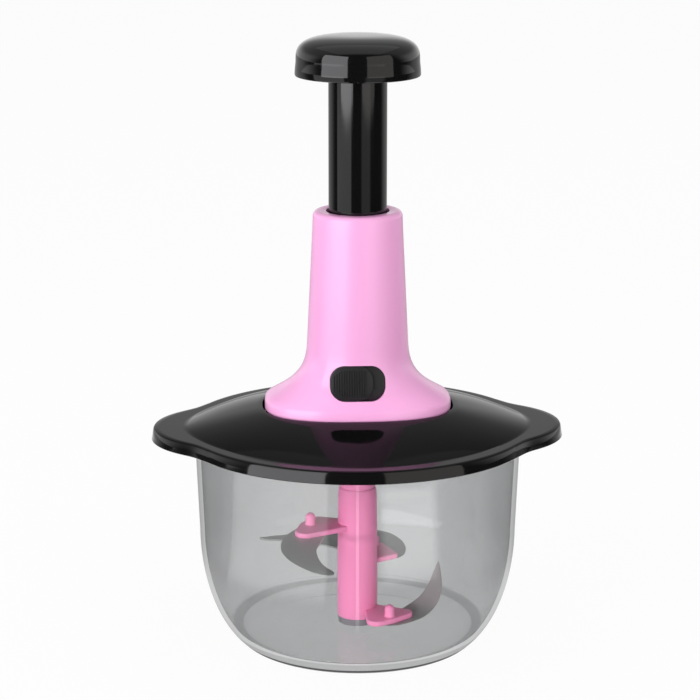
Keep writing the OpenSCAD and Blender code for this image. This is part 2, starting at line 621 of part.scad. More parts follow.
button_x = -switch_w / 2 + button_w / 2 + 0.3;
module lock_button() {
  color(black) switch_frame() translate([button_x, 0, 0]) union() {
    translate([0, 0, plate_face + 0.1]) linear_extrude(1.7) intersection() {
      pill(button_w, switch_h - 0.7, switch_r - 0.3);
      translate([-button_w / 2 - 1, -switch_h]) square([button_w + 2, switch_h * 2]);
    }
    for (i = [0:floor((button_w - 5) / rib_pitch)]) translate([-button_w / 2 + 1.6 + i * rib_pitch, 0, plate_face + 1.7])
      linear_extrude(0.5) square([rib_pitch / 2, switch_h - 4.5 - (i < 3 ? (3 - i) * 1.6 : 0)], center = true);
    translate([-3, -2, plate_face - 3.4]) cube([6, 4, 3.8]);
  }
}

tongue_y = tube_r - 1.6;
module lock_bolt() {
  plate_depth = bell_y(switch_z) - plate_face;
  color(black) union() {
    switch_frame() difference() {
      translate([button_x - 7.4, -5, plate_face - 4.6]) cube([15.4, 10, 2.2]);
      translate([button_x - 3.05, -2.05, plate_face - 3.42]) cube([6.1, 4.1, 2]);
    }
    translate([switch_x - lock_travel - 7, -bell_y(switch_z) + 5.2, tower_z + switch_z - 1.6])
      cube([5, bell_y(switch_z) - 5.2 - tongue_y, 3.2]);
  }
}

// Knob and push tube
function crown(z) = (knob_r - 0.55) * pow(1 - pow(max(0, z - knob_shoulder) / (knob_h - knob_shoulder), knob_square), 1 / knob_square);
module knob() {
  top_in = knob_h - knob_wall;
  color(black) union() {
    rotate_extrude($fn = 180) polygon(concat(
      [[knob_r - knob_wall, knob_z + 0.5], [knob_r - 0.9, knob_z], [knob_r, knob_z + 0.8]],
      [[knob_r - 0.2, knob_z + 3.5]],
      [for (u = [0, 0.2, 0.4, 0.55, 0.68, 0.78, 0.86, 0.92, 0.965, 0.99, 0.999])
        [crown(knob_shoulder + u * (knob_h - knob_shoulder)), knob_z + knob_shoulder + u * (knob_h - knob_shoulder)]],
      [[0, knob_top_z], [0, knob_top_z - knob_wall]],
      [for (u = [0.97, 0.9, 0.75, 0.5, 0.25, 0]) let (z = knob_shoulder + u * (knob_h - knob_shoulder - knob_wall))
        [(knob_r - 0.55 - knob_wall) * pow(1 - pow(u, knob_square), 1 / knob_square), knob_z + z]]));
    ring(knob_z + 2.2, knob_top_z - knob_wall + 0.5, tube_r + 2.4, tube_r + seat_gap);
  }
}

module push_tube() {
  notch_z = tower_z + switch_z + stroke;
  color(black) difference() {
    rod_between(nut_top_z, tube_top_z, tube_r);
    rod_between(nut_top_z - 1, tube_top_z - 2, tube_bore_r);
    translate([switch_x - lock_travel - 2.6, -tube_r - 2, notch_z - 2.1]) cube([lock_travel + 1.6, 2 + tube_r - tongue_y + 0.35, 4.2]);
  }
}

// Nut at the foot of the tube, with a twisted square hole
function twist_at(z) = -360 * z / rod_lead;
module drive_nut() {
  plug_h = 9;
  h = nut_flange_h + plug_h;
  color(white) difference() {
    union() {
      rod_between(nut_low_z, nut_top_z - 0.02, tube_r);
      rod_between(nut_low_z, nut_low_z + h, tube_bore_r - seat_gap);
      translate([-lug_reach, -lug_w / 2, nut_low_z]) cube([2 * lug_reach, lug_w, nut_flange_h - 0.02]);
    }
    translate([0, 0, nut_low_z - 0.5]) rotate(twist_at(nut_low_z - 0.5))
      linear_extrude(h + 1, twist = 360 * (h + 1) / rod_lead, slices = ceil((h + 1) * 60 / rod_lead))
        square(rod_side + 0.6, center = true);
  }
}

rod_low_z = seat_z + 2;
rod_top_z = tower_top_z - 8;
module spiral_rod() {
  h = rod_top_z - rod_low_z;
  color(steel) union() {
    translate([0, 0, rod_low_z - 0.5]) rotate(twist_at(rod_low_z - 0.5))
      linear_extrude(h + 0.5, twist = 360 * (h + 0.5) / rod_lead, slices = ceil((h + 0.5) * 60 / rod_lead))
        square(rod_side, center = true);
    rod_between(bush_low_z - 0.2, rod_low_z - 0.4, journal_r - run_gap);
    translate([0, 0, mesh_z + 0.5]) linear_extrude(bush_low_z - mesh_z) square(rod_side, center = true);
    rod_between(rod_top_z - 0.5, rod_top_z + 2.2, 2);
  }
}

// Washer that the return spring stands on, on top of the rod
module spring_seat() {
  color(white) union() {
    ring(rod_top_z + 0.02, rod_top_z + 1.6, coil_r + 1, 2 + seat_gap);
    ring(rod_top_z + 1.5, rod_top_z + 4, coil_r - wire_r - 0.8, 2 + seat_gap);
  }
}

// Return spring: one open coil, a tube of six sides swept along a helix
spring_low_z = rod_top_z + 1.6 + wire_r + 0.05;
spring_top_z = tube_top_z - 2 - wire_r - 0.05;
function coil_z(t) = let (u = t / coil_turns, e = 1 / coil_turns, p = wire_r * 2 + 0.45)
  t < 1 ? spring_low_z + t * p
  : t > coil_turns - 1 ? spring_top_z - (coil_turns - t) * p
  : spring_low_z + p + (t - 1) / (coil_turns - 2) * (spring_top_z - spring_low_z - 2 * p);
coil_rise = coil_z(coil_turns / 2 + 0.5) - coil_z(coil_turns / 2 - 0.5);
echo(least_gap_between_turns = min(coil_z(1) - coil_z(0), coil_rise) - 2 * wire_r);
module return_spring() {
  steps = coil_turns * 10;
  sides = 6;
  points = [for (i = [0:steps]) for (k = [0:sides - 1])
    let (a = 360 * i / 10, z = coil_z(i / 10), b = 360 * k / sides, r = coil_r + wire_r * cos(b))
    [r * cos(a), r * sin(a), z + wire_r * sin(b)]];
  skin = [for (i = [0:steps - 1]) for (k = [0:sides - 1])
    let (a = i * sides + k, b = i * sides + (k + 1) % sides, c = a + sides, d = b + sides)
    each [[a, c, b], [b, c, d]]];
  ends = [[for (k = [0:sides - 1]) k], [for (k = [sides - 1:-1:0]) steps * sides + k]];
  color(steel) polyhedron(points, concat(skin, ends), convexity = 20);
}

// Clutch and bearings under the lid
module rod_bush() {
  color(white) union() {
    ring(bush_low_z + 0.02, seat_z, journal_r + 2.5 - seat_gap, journal_r);
    ring(seat_z + 0.02, seat_z + 1.2, journal_r + 4.5, journal_r);
    ring(seat_z - 0.5, seat_z + 0.5, journal_r + 2.4, journal_r);
  }
}

module thrust_washer() {
  color(steel) ring(ratchet_top_z + 0.05, ratchet_top_z + washer_t, journal_r + 5, rod_side * 0.71 + 0.3);
}

module teeth(up) {
  for (i = [0:ratchet_teeth - 1]) rotate(i * 360 / ratchet_teeth)
    intersection() {
      translate([ratchet_r - 6.5, 0, 0]) rotate([90, 0, 90]) linear_extrude(6.5)
        polygon([[-1.5, -0.6 * up], [1.5, -0.6 * up], [1.5, 0.3 * up], [-1.2, tooth_h * up], [-1.5, tooth_h * up]]);
      translate([0, 0, -10]) cylinder(h = 20, r = ratchet_r - 0.4, $fn = 96);
    }
}

module drive_ratchet() {
  color(white) difference() {
    union() {
      rod_between(mesh_z, ratchet_top_z, ratchet_r);
      translate([0, 0, mesh_z]) teeth(-1);
    }
    translate([0, 0, mesh_z - 1]) linear_extrude(20) square(rod_side + 2 * seat_gap, center = true);
  }
}

module driven_ratchet() {
  color(white) union() {
    rod_between(driven_low_z, driven_top_z, ratchet_r);
    translate([0, 0, driven_top_z]) rotate(180 / ratchet_teeth) teeth(1);
    rod_between(cover_low_z - 0.6, driven_low_z + 0.5, output_r - run_gap);
    translate([0, 0, hub_top_z - hex_l]) rotate(30)
      cylinder(h = hex_l + cover_low_z - hub_top_z, r = hex_af / 2 / cos(30), $fn = 6);
  }
}

module output_bush() {
  color(white) union() {
    ring(cover_low_z, cover_top_z + 0.05, output_r + 1.8, output_r);
    ring(cover_top_z + 0.02, cover_top_z + 0.8, output_r + 3, output_r);
  }
}

module gear_cover() {
  color(black) difference() {
    union() {
      rod_between(cover_low_z, cover_top_z - 0.02, boss_r);
      for (a = [30, 150, 270]) rotate(a) translate([boss_r + 2, 0, 0])
        rod_between(cover_low_z, cover_top_z - 0.02, post_r);
    }
    rod_between(cover_low_z - 1, cover_top_z + 1, output_r + 1.8 + seat_gap);
    for (a = [30, 150, 270]) rotate(a) translate([boss_r + 2, 0, 0])
      rod_between(cover_low_z - 1, cover_top_z + 1, screw_r + 0.35);
  }
}

module cover_screws() {
  color(steel) for (a = [30, 150, 270]) rotate(a) translate([boss_r + 2, 0, 0])
    screw(cover_low_z - 0.02, cover_screw_l, screw_r, cover_screw_head_r, cover_screw_head_h);
}

bowl();
pivot_pin();
hub_foot_ring();
blade_hub();
low_blade();
middle_blade();
high_blade();
lid_cover();
tower_shell();
tower_screws();
tube_guide();
lock_plate();
lock_button();
lock_bolt();
knob();
push_tube();
drive_nut();
return_spring();
spring_seat();
spiral_rod();
rod_bush();
thrust_washer();
drive_ratchet();
driven_ratchet();
output_bush();
gear_cover();
cover_screws();
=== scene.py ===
"""Looks of the hand press food chopper: smoke clear bowl, domed black lid, pink bell tower, push tube,
mushroom knob and the pink blade hub with its three sickle blades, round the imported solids."""

import json
import math

import bmesh
import bpy
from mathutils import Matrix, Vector


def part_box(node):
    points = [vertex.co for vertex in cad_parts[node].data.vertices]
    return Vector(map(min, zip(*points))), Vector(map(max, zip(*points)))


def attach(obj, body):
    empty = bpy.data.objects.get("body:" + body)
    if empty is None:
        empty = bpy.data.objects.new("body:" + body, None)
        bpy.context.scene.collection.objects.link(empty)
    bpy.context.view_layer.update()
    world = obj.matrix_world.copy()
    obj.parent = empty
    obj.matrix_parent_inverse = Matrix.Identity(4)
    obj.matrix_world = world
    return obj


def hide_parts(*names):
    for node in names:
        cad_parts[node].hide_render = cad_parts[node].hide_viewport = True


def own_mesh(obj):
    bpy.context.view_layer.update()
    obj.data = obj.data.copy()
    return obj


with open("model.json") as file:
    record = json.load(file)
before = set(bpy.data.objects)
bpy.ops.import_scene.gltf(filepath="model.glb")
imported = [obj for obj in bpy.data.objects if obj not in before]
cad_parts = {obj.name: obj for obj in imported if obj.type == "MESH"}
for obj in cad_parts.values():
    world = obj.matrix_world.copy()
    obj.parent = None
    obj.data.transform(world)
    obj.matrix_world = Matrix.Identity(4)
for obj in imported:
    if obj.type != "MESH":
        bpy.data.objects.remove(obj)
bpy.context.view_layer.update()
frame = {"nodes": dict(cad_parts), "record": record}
MM = 0.001


# Sizes in millimetres; where the part's source has the same name, it has the same value
BOWL_BASE_R, BOWL_KNEE_Z, BOWL_KNEE_R = 58.5, 56.9, 79.0
BOWL_TOP_R, BOWL_H, BOWL_WALL, BOWL_BULGE = 80.9, 106.0, 2.3, 31.6
BOWL_FLOOR_Z, FOOT_W, FOOT_H, PIN_BOSS_R, PIN_BOSS_H, PIN_R = 5.5, 5.5, 1.2, 5.2, 1.8, 3.0
LID_R, LID_X, LID_DRAFT, LID_EDGE_H, LID_OVERLAP, LID_WALL = 83.5, 87.2, 0.9, 6.0, 2.4, 2.4
EAR_REACH, EAR_R, EAR_BLEND = 101.6, 34.8, 6.3
DOME_X, DOME_Y, DOME_N, DOME_H, DOME_BULGE = 85.4, 76.0, 1.75, 10.4, 0.9
TOWER_H, TOWER_TOP_R, TOWER_TAPER, FLANGE_X, FLANGE_Y, FLANGE_N = 98.6, 21.9, 0.05, 45.8, 32.6, 2.6
FLARE_H, FLANGE_LIP, TOWER_WALL, RECESS_GAP, RECESS_D = 36.0, 2.6, 2.4, 1.3, 1.2
TOWER_HOLE_R, TOWER_ROUND = 15.4, 2.6
TUBE_R, TUBE_WALL, STROKE, KNOB_STOP = 14.2, 2.1, 64.0, 1.4
KNOB_R, KNOB_H, KNOB_SHOULDER, KNOB_SQUARE, KNOB_WALL = 30.4, 19.6, 7.1, 3.3, 2.5
SWITCH_W, SWITCH_H, SWITCH_R, SWITCH_X, SWITCH_Z, SWITCH_TILT = 27.0, 17.3, 7.3, -1.4, 18.2, 10.0
LOCK_TRAVEL, BUTTON_W, RIB_PITCH = 6.0, 20.6, 1.2
HUB_R, HUB_NECK_R, HUB_SHOULDER_Z, HUB_LIFT, FOOT_RING_H = 10.1, 8.7, 77.0, 0.4, 3.2
PEG_POS, PEG_R, PEG_H, ARM_T = 24.0, 2.5, 6.0, 2.7
ARMS = {"low": (14.5, -51.2), "middle": (38.2, 65.3), "high": (58.4, 187.8)}
LOBES = {
    "low": ((20, 8.5, 4), (-18, 23.4, 5), (22, 26.3, 4), (0, 24, 4.6)),
    "middle": ((0, 3, 6), (-40, 20.5, 2.4), (20, 27, 5), (0, 24, 5.5)),
    "high": ((8, 6.3, 6), (-28.4, 20.7, 2), (18.6, 29.5, 5.5), (0, 24, 5.5)),
}
WIRE_R, COIL_R, COIL_TURNS, COIL_GAP = 0.7, 9.6, 11, 0.45
HEX_FLATS, HEX_GAP, SOCKET_DEPTH, PIN_GAP, PIN_BORE_Z = 10, 0.15, 14.8, 0.06, 34.3
BLADE_T, BLADE_FOLD, BLADE_LIFT, BEND_AT, BEND_R, BEND_A = 1.0, 33.5, 8.0, 14.2, 14.0, 68.0

LID_Z = BOWL_H - LID_OVERLAP
LAND_Z = LID_Z + LID_EDGE_H
SEAT_Z = LAND_Z + DOME_H - RECESS_D
TOWER_Z = SEAT_Z + 0.02
TOWER_TOP_Z = TOWER_Z + TOWER_H
KNOB_Z = TOWER_TOP_Z + KNOB_STOP + STROKE
HUB_FOOT_Z = BOWL_FLOOR_Z + HUB_LIFT
HUB_LOW_Z = HUB_FOOT_Z + FOOT_RING_H
HUB_TOP_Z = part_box("blade_hub")[1].z / MM
COVER_TOP_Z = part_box("gear_cover")[1].z / MM
BUSH_LOW_Z = SEAT_Z - 6.0


# Modelling helpers
def object_mode():
    if bpy.context.mode != "OBJECT":
        bpy.ops.object.mode_set(mode="OBJECT")


def fresh(name):
    """The object that was just added, named, alone and active."""
    piece = bpy.context.object
    piece.name = piece.data.name = name
    return piece


def select_only(*pieces):
    object_mode()
    bpy.ops.object.select_all(action="DESELECT")
    for piece in pieces:
        piece.select_set(True)
    bpy.context.view_layer.objects.active = pieces[0]


def moved(piece, x, y):
    """Moves a piece in the plan, by millimetres."""
    select_only(piece)
    piece.location = (x * MM, y * MM, 0)
    bpy.ops.object.transform_apply(location=True, rotation=True, scale=True)
    return piece


def around(angle, r):
    return r * math.cos(math.radians(angle)), r * math.sin(math.radians(angle))


def done(piece, angle=32, body=None, replaces=(), finish=None):
    """Back to object mode, smooth shading, and the piece's place in the frame."""
    select_only(piece)
    bpy.ops.object.transform_apply(location=True, rotation=True, scale=True)
    bpy.ops.object.shade_smooth_by_angle(angle=math.radians(angle))
    for name in ("step", "row"):
        if name in piece.data.attributes:
            piece.data.attributes.remove(piece.data.attributes[name])
    if finish:
        piece.data.materials.clear()
        piece.data.materials.append(finish)
    if replaces:
        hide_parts(*replaces)
    if body:
        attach(piece, body)
    return piece


def round_at(r, z):
    return lambda t: (r * math.cos(t), r * math.sin(t), z)


def oval_at(a, b, n, z):
    def point(t):
        c, s = math.cos(t), math.sin(t)
        return (
            math.copysign(a * abs(c) ** (2 / n), c),
            math.copysign(b * abs(s) ** (2 / n), s),
            z,
        )

    return point


def grow(name, rings, count=128, start_closed=False, end_closed=False, endless=False):
    """A circle that is extruded ring by ring, each new ring set on its own shape, then closed as asked."""
    object_mode()
    bpy.ops.object.select_all(action="DESELECT")
    bpy.ops.mesh.primitive_circle_add(vertices=count, radius=0.01)
    piece = fresh(name)
    bpy.ops.object.mode_set(mode="EDIT")
    bpy.ops.mesh.select_all(action="SELECT")
    mesh = bmesh.from_edit_mesh(piece.data)
    step = mesh.verts.layers.int.new("step")
    row = mesh.verts.layers.int.new("row")
    mesh.verts.ensure_lookup_table()
    for i, v in enumerate(mesh.verts):
        v[step], v[row] = i, 0
        v.co = Vector(rings[0](math.tau * i / count)) * MM
    bmesh.update_edit_mesh(piece.data)
    for k, ring in enumerate(rings[1:], 1):
        bpy.ops.mesh.extrude_region_move()
        mesh = bmesh.from_edit_mesh(piece.data)
        step = mesh.verts.layers.int["step"]
        row = mesh.verts.layers.int["row"]
        for v in mesh.verts:
            if v.select:
                v[row] = k
                v.co = Vector(ring(math.tau * v[step] / count)) * MM
        bmesh.update_edit_mesh(piece.data)
    last = len(rings) - 1
    if endless:
        select_rows(piece, (0, last))
        bpy.ops.mesh.bridge_edge_loops()
    for closed, k in ((start_closed, 0), (end_closed, last)):
        if closed:
            select_rows(piece, (k,))
            bpy.ops.mesh.merge(type="CENTER")
    bpy.ops.mesh.select_all(action="SELECT")
    bpy.ops.mesh.remove_doubles(threshold=1e-7)
    bpy.ops.mesh.normals_make_consistent(inside=False)
    bpy.ops.mesh.select_all(action="DESELECT")
    return piece


def select_rows(piece, rows):
    mesh = bmesh.from_edit_mesh(piece.data)
    row = mesh.verts.layers.int["row"]
    for v in mesh.verts:
        v.select = v[row] in rows
    mesh.select_flush_mode()
    for e in mesh.edges:
        e.select = e.verts[0].select and e.verts[1].select and e.verts[0][row] == e.verts[1][row]
    bmesh.update_edit_mesh(piece.data)


def turned(name, profile, count=128, endless=False):
    """A turned piece through points of radius and height; a radius of 0 closes that end."""
    shapes = [round_at(max(r, 0.002), z) for r, z in profile]
    return grow(name, shapes, count, profile[0][0] == 0, profile[-1][0] == 0, endless)


def plate(name, outline, low, high, bevel=0.0, segments=2):
    """A flat plate from an outline in millimetres, drawn out from low to high, its edges rounded."""
    object_mode()
    bpy.ops.object.select_all(action="DESELECT")
    bpy.ops.mesh.primitive_circle_add(vertices=len(outline), radius=0.01)
    piece = fresh(name)
    bpy.ops.object.mode_set(mode="EDIT")
    bpy.ops.mesh.select_all(action="SELECT")
    mesh = bmesh.from_edit_mesh(piece.data)
    mesh.verts.ensure_lookup_table()
    for v, (x, y) in zip(mesh.verts, outline):
        v.co = Vector((x, y, low)) * MM
    bmesh.update_edit_mesh(piece.data)
    bpy.ops.mesh.edge_face_add()
    bpy.ops.mesh.extrude_region_move(TRANSFORM_OT_translate={"value": (0, 0, (high - low) * MM)})
    bpy.ops.mesh.select_all(action="SELECT")
    bpy.ops.mesh.normals_make_consistent(inside=False)
    bpy.ops.object.mode_set(mode="OBJECT")
    if bevel:
        soft = piece.modifiers.new("edges", "BEVEL")
        soft.width, soft.segments = bevel * MM, segments
        soft.limit_method, soft.angle_limit = "ANGLE", math.radians(40)
        bpy.ops.object.modifier_apply(modifier=soft.name)
    bpy.ops.object.mode_set(mode="EDIT")
    return piece


def cut(piece, tool):
    """Takes the tool's shape out of the piece."""
    select_only(piece)
    away = piece.modifiers.new("cut", "BOOLEAN")
    away.operation, away.solver, away.object = "DIFFERENCE", "EXACT", tool
    bpy.ops.object.modifier_apply(modifier=away.name)
    bpy.data.objects.remove(tool)


def joined(piece, *others):
    select_only(piece, *others)
    bpy.ops.object.join()
    return piece


def arc(cx, cy, r, start, end, steps):
    """Points on an arc, angles in degrees."""
    turns = (math.radians(start + (end - start) * i / steps) for i in range(steps + 1))
    return [(cx + r * math.cos(t), cy + r * math.sin(t)) for t in turns]


# Materials
class Value:
    """A socket that takes part in plain Python sums."""

    def __init__(self, paint, socket):
        self.paint, self.socket = paint, socket

    def sum(self, kind, other, swap=False):
        a, b = (other, self) if swap else (self, other)
        return self.paint.add("ShaderNodeMath", {"operation": kind}, {0: a, 1: b})

    def __add__(self, other):
        return self.sum("ADD", other)

    def __mul__(self, other):
        return self.sum("MULTIPLY", other)

    def __sub__(self, other):
        return self.sum("SUBTRACT", other)

    def __rsub__(self, other):
        return self.sum("SUBTRACT", other, True)


class Finish:
    """One material and its nodes."""

    def __init__(self, name):
        self.material = bpy.data.materials.new(name)
        self.material.use_nodes = True
        self.nodes = self.material.node_tree.nodes
        self.links = self.material.node_tree.links
        self.shader = self.nodes["Principled BSDF"]
        self.out = self.nodes["Material Output"]

    def feed(self, socket, value):
        if isinstance(value, Value):
            self.links.new(value.socket, socket)
        elif isinstance(value, (tuple, list)) and socket.type == "RGBA" and len(value) == 3:
            socket.default_value = (*value, 1)
        else:
            socket.default_value = value

    def add(self, kind, settings=None, sockets=None, output=0):
        node = self.nodes.new(kind)
        for key, value in (settings or {}).items():
            setattr(node, key, value)
        for key, value in (sockets or {}).items():
            self.feed(node.inputs[key], value)
        return Value(self, node.outputs[output])

    def set(self, **sockets):
        for key, value in sockets.items():
            self.feed(self.shader.inputs[key.replace("_", " ")], value)
        return self

    def place(self, scale=(1, 1, 1), turn=(0, 0, 0)):
        where = self.add("ShaderNodeTexCoord", output=3)
        return self.add("ShaderNodeMapping", {}, {"Vector": where, "Rotation": turn, "Scale": scale})

    def axes(self, turn=(0, 0, 0)):
        """The three coordinates of the shaded place, in metres."""
        parts = self.add("ShaderNodeSeparateXYZ", {}, {"Vector": self.place(turn=turn)})
        return [Value(self, output) for output in parts.socket.node.outputs]

    def noise(self, scale, detail=3, stretch=(1, 1, 1), turn=(0, 0, 0), rough=0.5):
        where = self.place(stretch, turn)
        sockets = {"Vector": where, "Scale": scale, "Detail": detail, "Roughness": rough}
        return self.add("ShaderNodeTexNoise", {}, sockets)

    def spread(self, value, low, high, from_low=0.3, from_high=0.7):
        sockets = {"Value": value, "From Min": from_low, "From Max": from_high, "To Min": low, "To Max": high}
        return self.add("ShaderNodeMapRange", {}, sockets)

    def blend(self, share, a, b):
        node = self.nodes.new("ShaderNodeMix")
        node.data_type = "RGBA"
        for socket, value in ((node.inputs[0], share), (node.inputs[6], a), (node.inputs[7], b)):
            self.feed(socket, value)
        return Value(self, node.outputs[2])

    def mix(self, share, first, second):
        return self.add("ShaderNodeMixShader", {}, {0: share, 1: first, 2: second})

    def clear(self, tint):
        return self.add("ShaderNodeBsdfTransparent", {}, {"Color": tint})

    def glow(self, strength):
        return self.add("ShaderNodeEmission", {}, {"Color": (1, 1, 1), "Strength": strength})

    def maths(self, kind, *values):
        return self.add("ShaderNodeMath", {"operation": kind}, dict(enumerate(values)))

    def ramp(self, value, start, end, low, high):
        """Soft step from low to high."""
        sockets = {"Value": value, "From Min": start, "From Max": end, "To Min": low, "To Max": high}
        return self.add("ShaderNodeMapRange", {"interpolation_type": "SMOOTHSTEP"}, sockets)

    def fan(self, angle, start, end, soft=3.0):
        """1 between two angles in degrees, 0 beside them."""
        a, b, c, d = (math.radians(v) for v in (start - soft, start, end, end + soft))
        return self.ramp(angle, a, b, 0.0, 1.0) * self.ramp(angle, c, d, 1.0, 0.0)

    def bump(self, height, strength, distance):
        sockets = {"Height": height, "Strength": strength, "Distance": distance * MM}
        self.feed(self.shader.inputs["Normal"], self.add("ShaderNodeBump", {}, sockets))
        return self


def black_plastic(name, ior):
    f = Finish(name)
    cloud = f.noise(35, 2)
    f.set(Base_Color=f.blend(cloud, (0.0022, 0.0022, 0.0024), (0.0038, 0.0038, 0.004)))
    f.set(Roughness=f.spread(cloud, 0.055, 0.085), IOR=ior)
    return f.bump(f.noise(260, 2), 0.05, 0.03)


def lid_black():
    """The lid's broad top mirrors less than its upright lip, which has a coat."""
    f = black_plastic("lid_black", 1.18)
    coat = f.ramp(f.axes()[2], (LAND_Z - 0.9) * MM, (LAND_Z - 0.2) * MM, 0.7, 0.0)
    return f.set(Coat_Weight=coat, Coat_Roughness=0.07, Coat_IOR=1.5).material


def satin_pink(name, deep, pale, low, high, ior):
    f = Finish(name)
    cloud = f.noise(22, 3)
    f.set(Base_Color=f.blend(cloud, deep, pale))
    f.set(Roughness=f.spread(cloud, low, high), IOR=ior)
    f.set(Subsurface_Weight=0.04, Subsurface_Radius=(0.004, 0.0015, 0.002))
    return f.bump(f.noise(900, 2), 0.06, 0.02).material


def matte_black():
    f = Finish("matte_black")
    grain = f.noise(1400, 2)
    f.set(Base_Color=f.blend(grain, (0.008, 0.008, 0.009), (0.014, 0.013, 0.015)))
    f.set(Roughness=f.spread(grain, 0.36, 0.5))
    return f.bump(grain, 0.15, 0.03).material


def ground_steel():
    f = Finish("ground_steel")
    lines = f.noise(90, 4, (1, 14, 1))
    f.set(Base_Color=f.blend(lines, (0.32, 0.335, 0.325), (0.4, 0.415, 0.405)), Metallic=0.3)
    f.set(Roughness=f.spread(lines, 0.34, 0.5))
    return f.bump(lines, 0.05, 0.02).material


def bright_steel():
    f = Finish("bright_steel")
    lines = f.noise(120, 3, (1, 1, 8))
    f.set(Base_Color=f.blend(lines, (0.5, 0.5, 0.51), (0.66, 0.66, 0.67)), Metallic=1.0)
    return f.set(Roughness=f.spread(lines, 0.2, 0.34)).material


def moulded(name, low, high, rough):
    f = Finish(name)
    cloud = f.noise(60, 3)
    f.set(Base_Color=f.blend(cloud, low, high))
    return f.set(Roughness=f.spread(cloud, rough - 0.05, rough + 0.05)).material


def smoke_clear():
    """Smoke tinted clear plastic: a tinted see-through shader under a gloss that grows at the edges, with
    painted shade as darker tints at the floor's corner, the upper sides and the foot, a painted dark line at
    the foot, and a painted highlight as a pale ring at the floor's edge.
    """
    f = Finish("smoke_clear")
    cloud = f.noise(14, 2)
    f.set(Base_Color=(1, 1, 1), Metallic=1.0, Roughness=f.spread(cloud, 0.015, 0.035))
    facing = f.add("ShaderNodeLayerWeight", {}, {"Blend": 0.5}, output=1)
    edge = f.maths("POWER", facing, 5.0)
    x, y, z = f.axes()
    r = f.maths("SQRT", x * x + y * y)
    base = f.ramp(r, 0.054, 0.057, 0.0, 1.0)
    outside = 1.0 - f.add("ShaderNodeNewGeometry", output=6)
    skirt = f.ramp(r, 0.0574, 0.0584, 0.0, 1.0) * f.ramp(facing, 0.2, 0.3, 0.0, 1.0) * outside
    # Darker tint low at the floor's corner: partly the thicker plastic there, partly painted shade for the
    # dark band at the corner
    corner = f.ramp(z, 0.0045, 0.0085, 1.0, 0.0) * base
    # Darker on the outer foot below 7 mm where it faces the view: painted shade along the bowl's bottom
    # outline
    foot = f.ramp(z, 0.0068, 0.0078, 1.0, 0.0) * skirt
    # Thin dark line painted on the outer foot, 1.4 to 2.7 mm up: painted shade
    line = f.ramp(z, 0.001, 0.0014, 0.0, 1.0) * f.ramp(z, 0.0027, 0.0032, 1.0, 0.0) * skirt
    # Darker towards grazing and more so above 28 mm: partly the longer path through the tinted wall, partly
    # painted shade from the lid above
    side = facing * facing * f.ramp(z, 0.028, 0.05, 0.3, 1.0)
    # Pale ring on the floor's inner edge, at 7.2 to 9 mm: a painted highlight
    ring = f.ramp(z, 0.0072, 0.0078, 0.0, 0.25) * f.ramp(z, 0.0082, 0.009, 1.0, 0.0)
    ring = ring * f.ramp(r, 0.063, 0.0636, 1.0, 0.0)
    wall = f.clear((0.842, 0.845, 0.847))
    # Darker tints: painted shade, where the corner and the sides are partly also the thicker or longer path
    # through the tinted plastic
    painted_shade_tints = (
        (corner, (0.81, 0.813, 0.815)),
        (side, (0.546, 0.548, 0.55)),
        (foot, (0.6, 0.603, 0.605)),
        (line, (0.12, 0.12, 0.125)),
    )
    for share, tint in painted_shade_tints:
        wall = f.mix(share, wall, f.clear(tint))
    mixed = f.mix(edge * 0.06 + 0.04, wall, Value(f, f.shader.outputs[0]))
    # Pale diffuse for the painted highlight ring
    pale = f.add("ShaderNodeBsdfDiffuse", {}, {"Color": (0.9, 0.9, 0.9)})
    mixed = f.mix(ring, mixed, pale)
    path = f.nodes.new("ShaderNodeLightPath")
    light = Value(f, path.outputs["Is Shadow Ray"]) + Value(f, path.outputs["Is Diffuse Ray"])
    f.feed(f.out.inputs["Surface"], f.mix(light, mixed, f.clear((0.97, 0.97, 0.97))))
    return f.material


BLACK = black_plastic("gloss_black", 1.5).material
LID_BLACK = lid_black()
PINK = satin_pink("satin_pink", (0.86, 0.39, 0.69), (0.88, 0.41, 0.71), 0.2, 0.26, 1.6)
HUB_PINK = satin_pink("hub_pink", (0.93, 0.29, 0.53), (0.95, 0.31, 0.55), 0.3, 0.38, 1.46)
MATTE = matte_black()
BLADE = ground_steel()
STEEL = bright_steel()
WHITE = moulded("white_plastic", (0.8, 0.8, 0.77), (0.86, 0.86, 0.83), 0.42)
GREY = moulded("grey_plastic", (0.2, 0.19, 0.21), (0.25, 0.24, 0.26), 0.45)
SMOKE = smoke_clear()


# Bowl
BOWL_CURVE_H = BOWL_KNEE_Z / math.sqrt(1 - ((BOWL_BASE_R - BOWL_KNEE_R + BOWL_BULGE) / BOWL_BULGE) ** 2)


def bowl_out(z):
    if z < BOWL_KNEE_Z:
        return BOWL_KNEE_R - BOWL_BULGE + BOWL_BULGE * math.sqrt(1 - ((BOWL_KNEE_Z - z) / BOWL_CURVE_H) ** 2)
    return BOWL_KNEE_R + (BOWL_TOP_R - BOWL_KNEE_R) * (z - BOWL_KNEE_Z) / (BOWL_H - BOWL_KNEE_Z)


def bowl_in(z):
    lean = (bowl_out(z + 0.2) - bowl_out(z - 0.2)) / 0.4
    return bowl_out(z) - BOWL_WALL * math.sqrt(1 + lean**2)


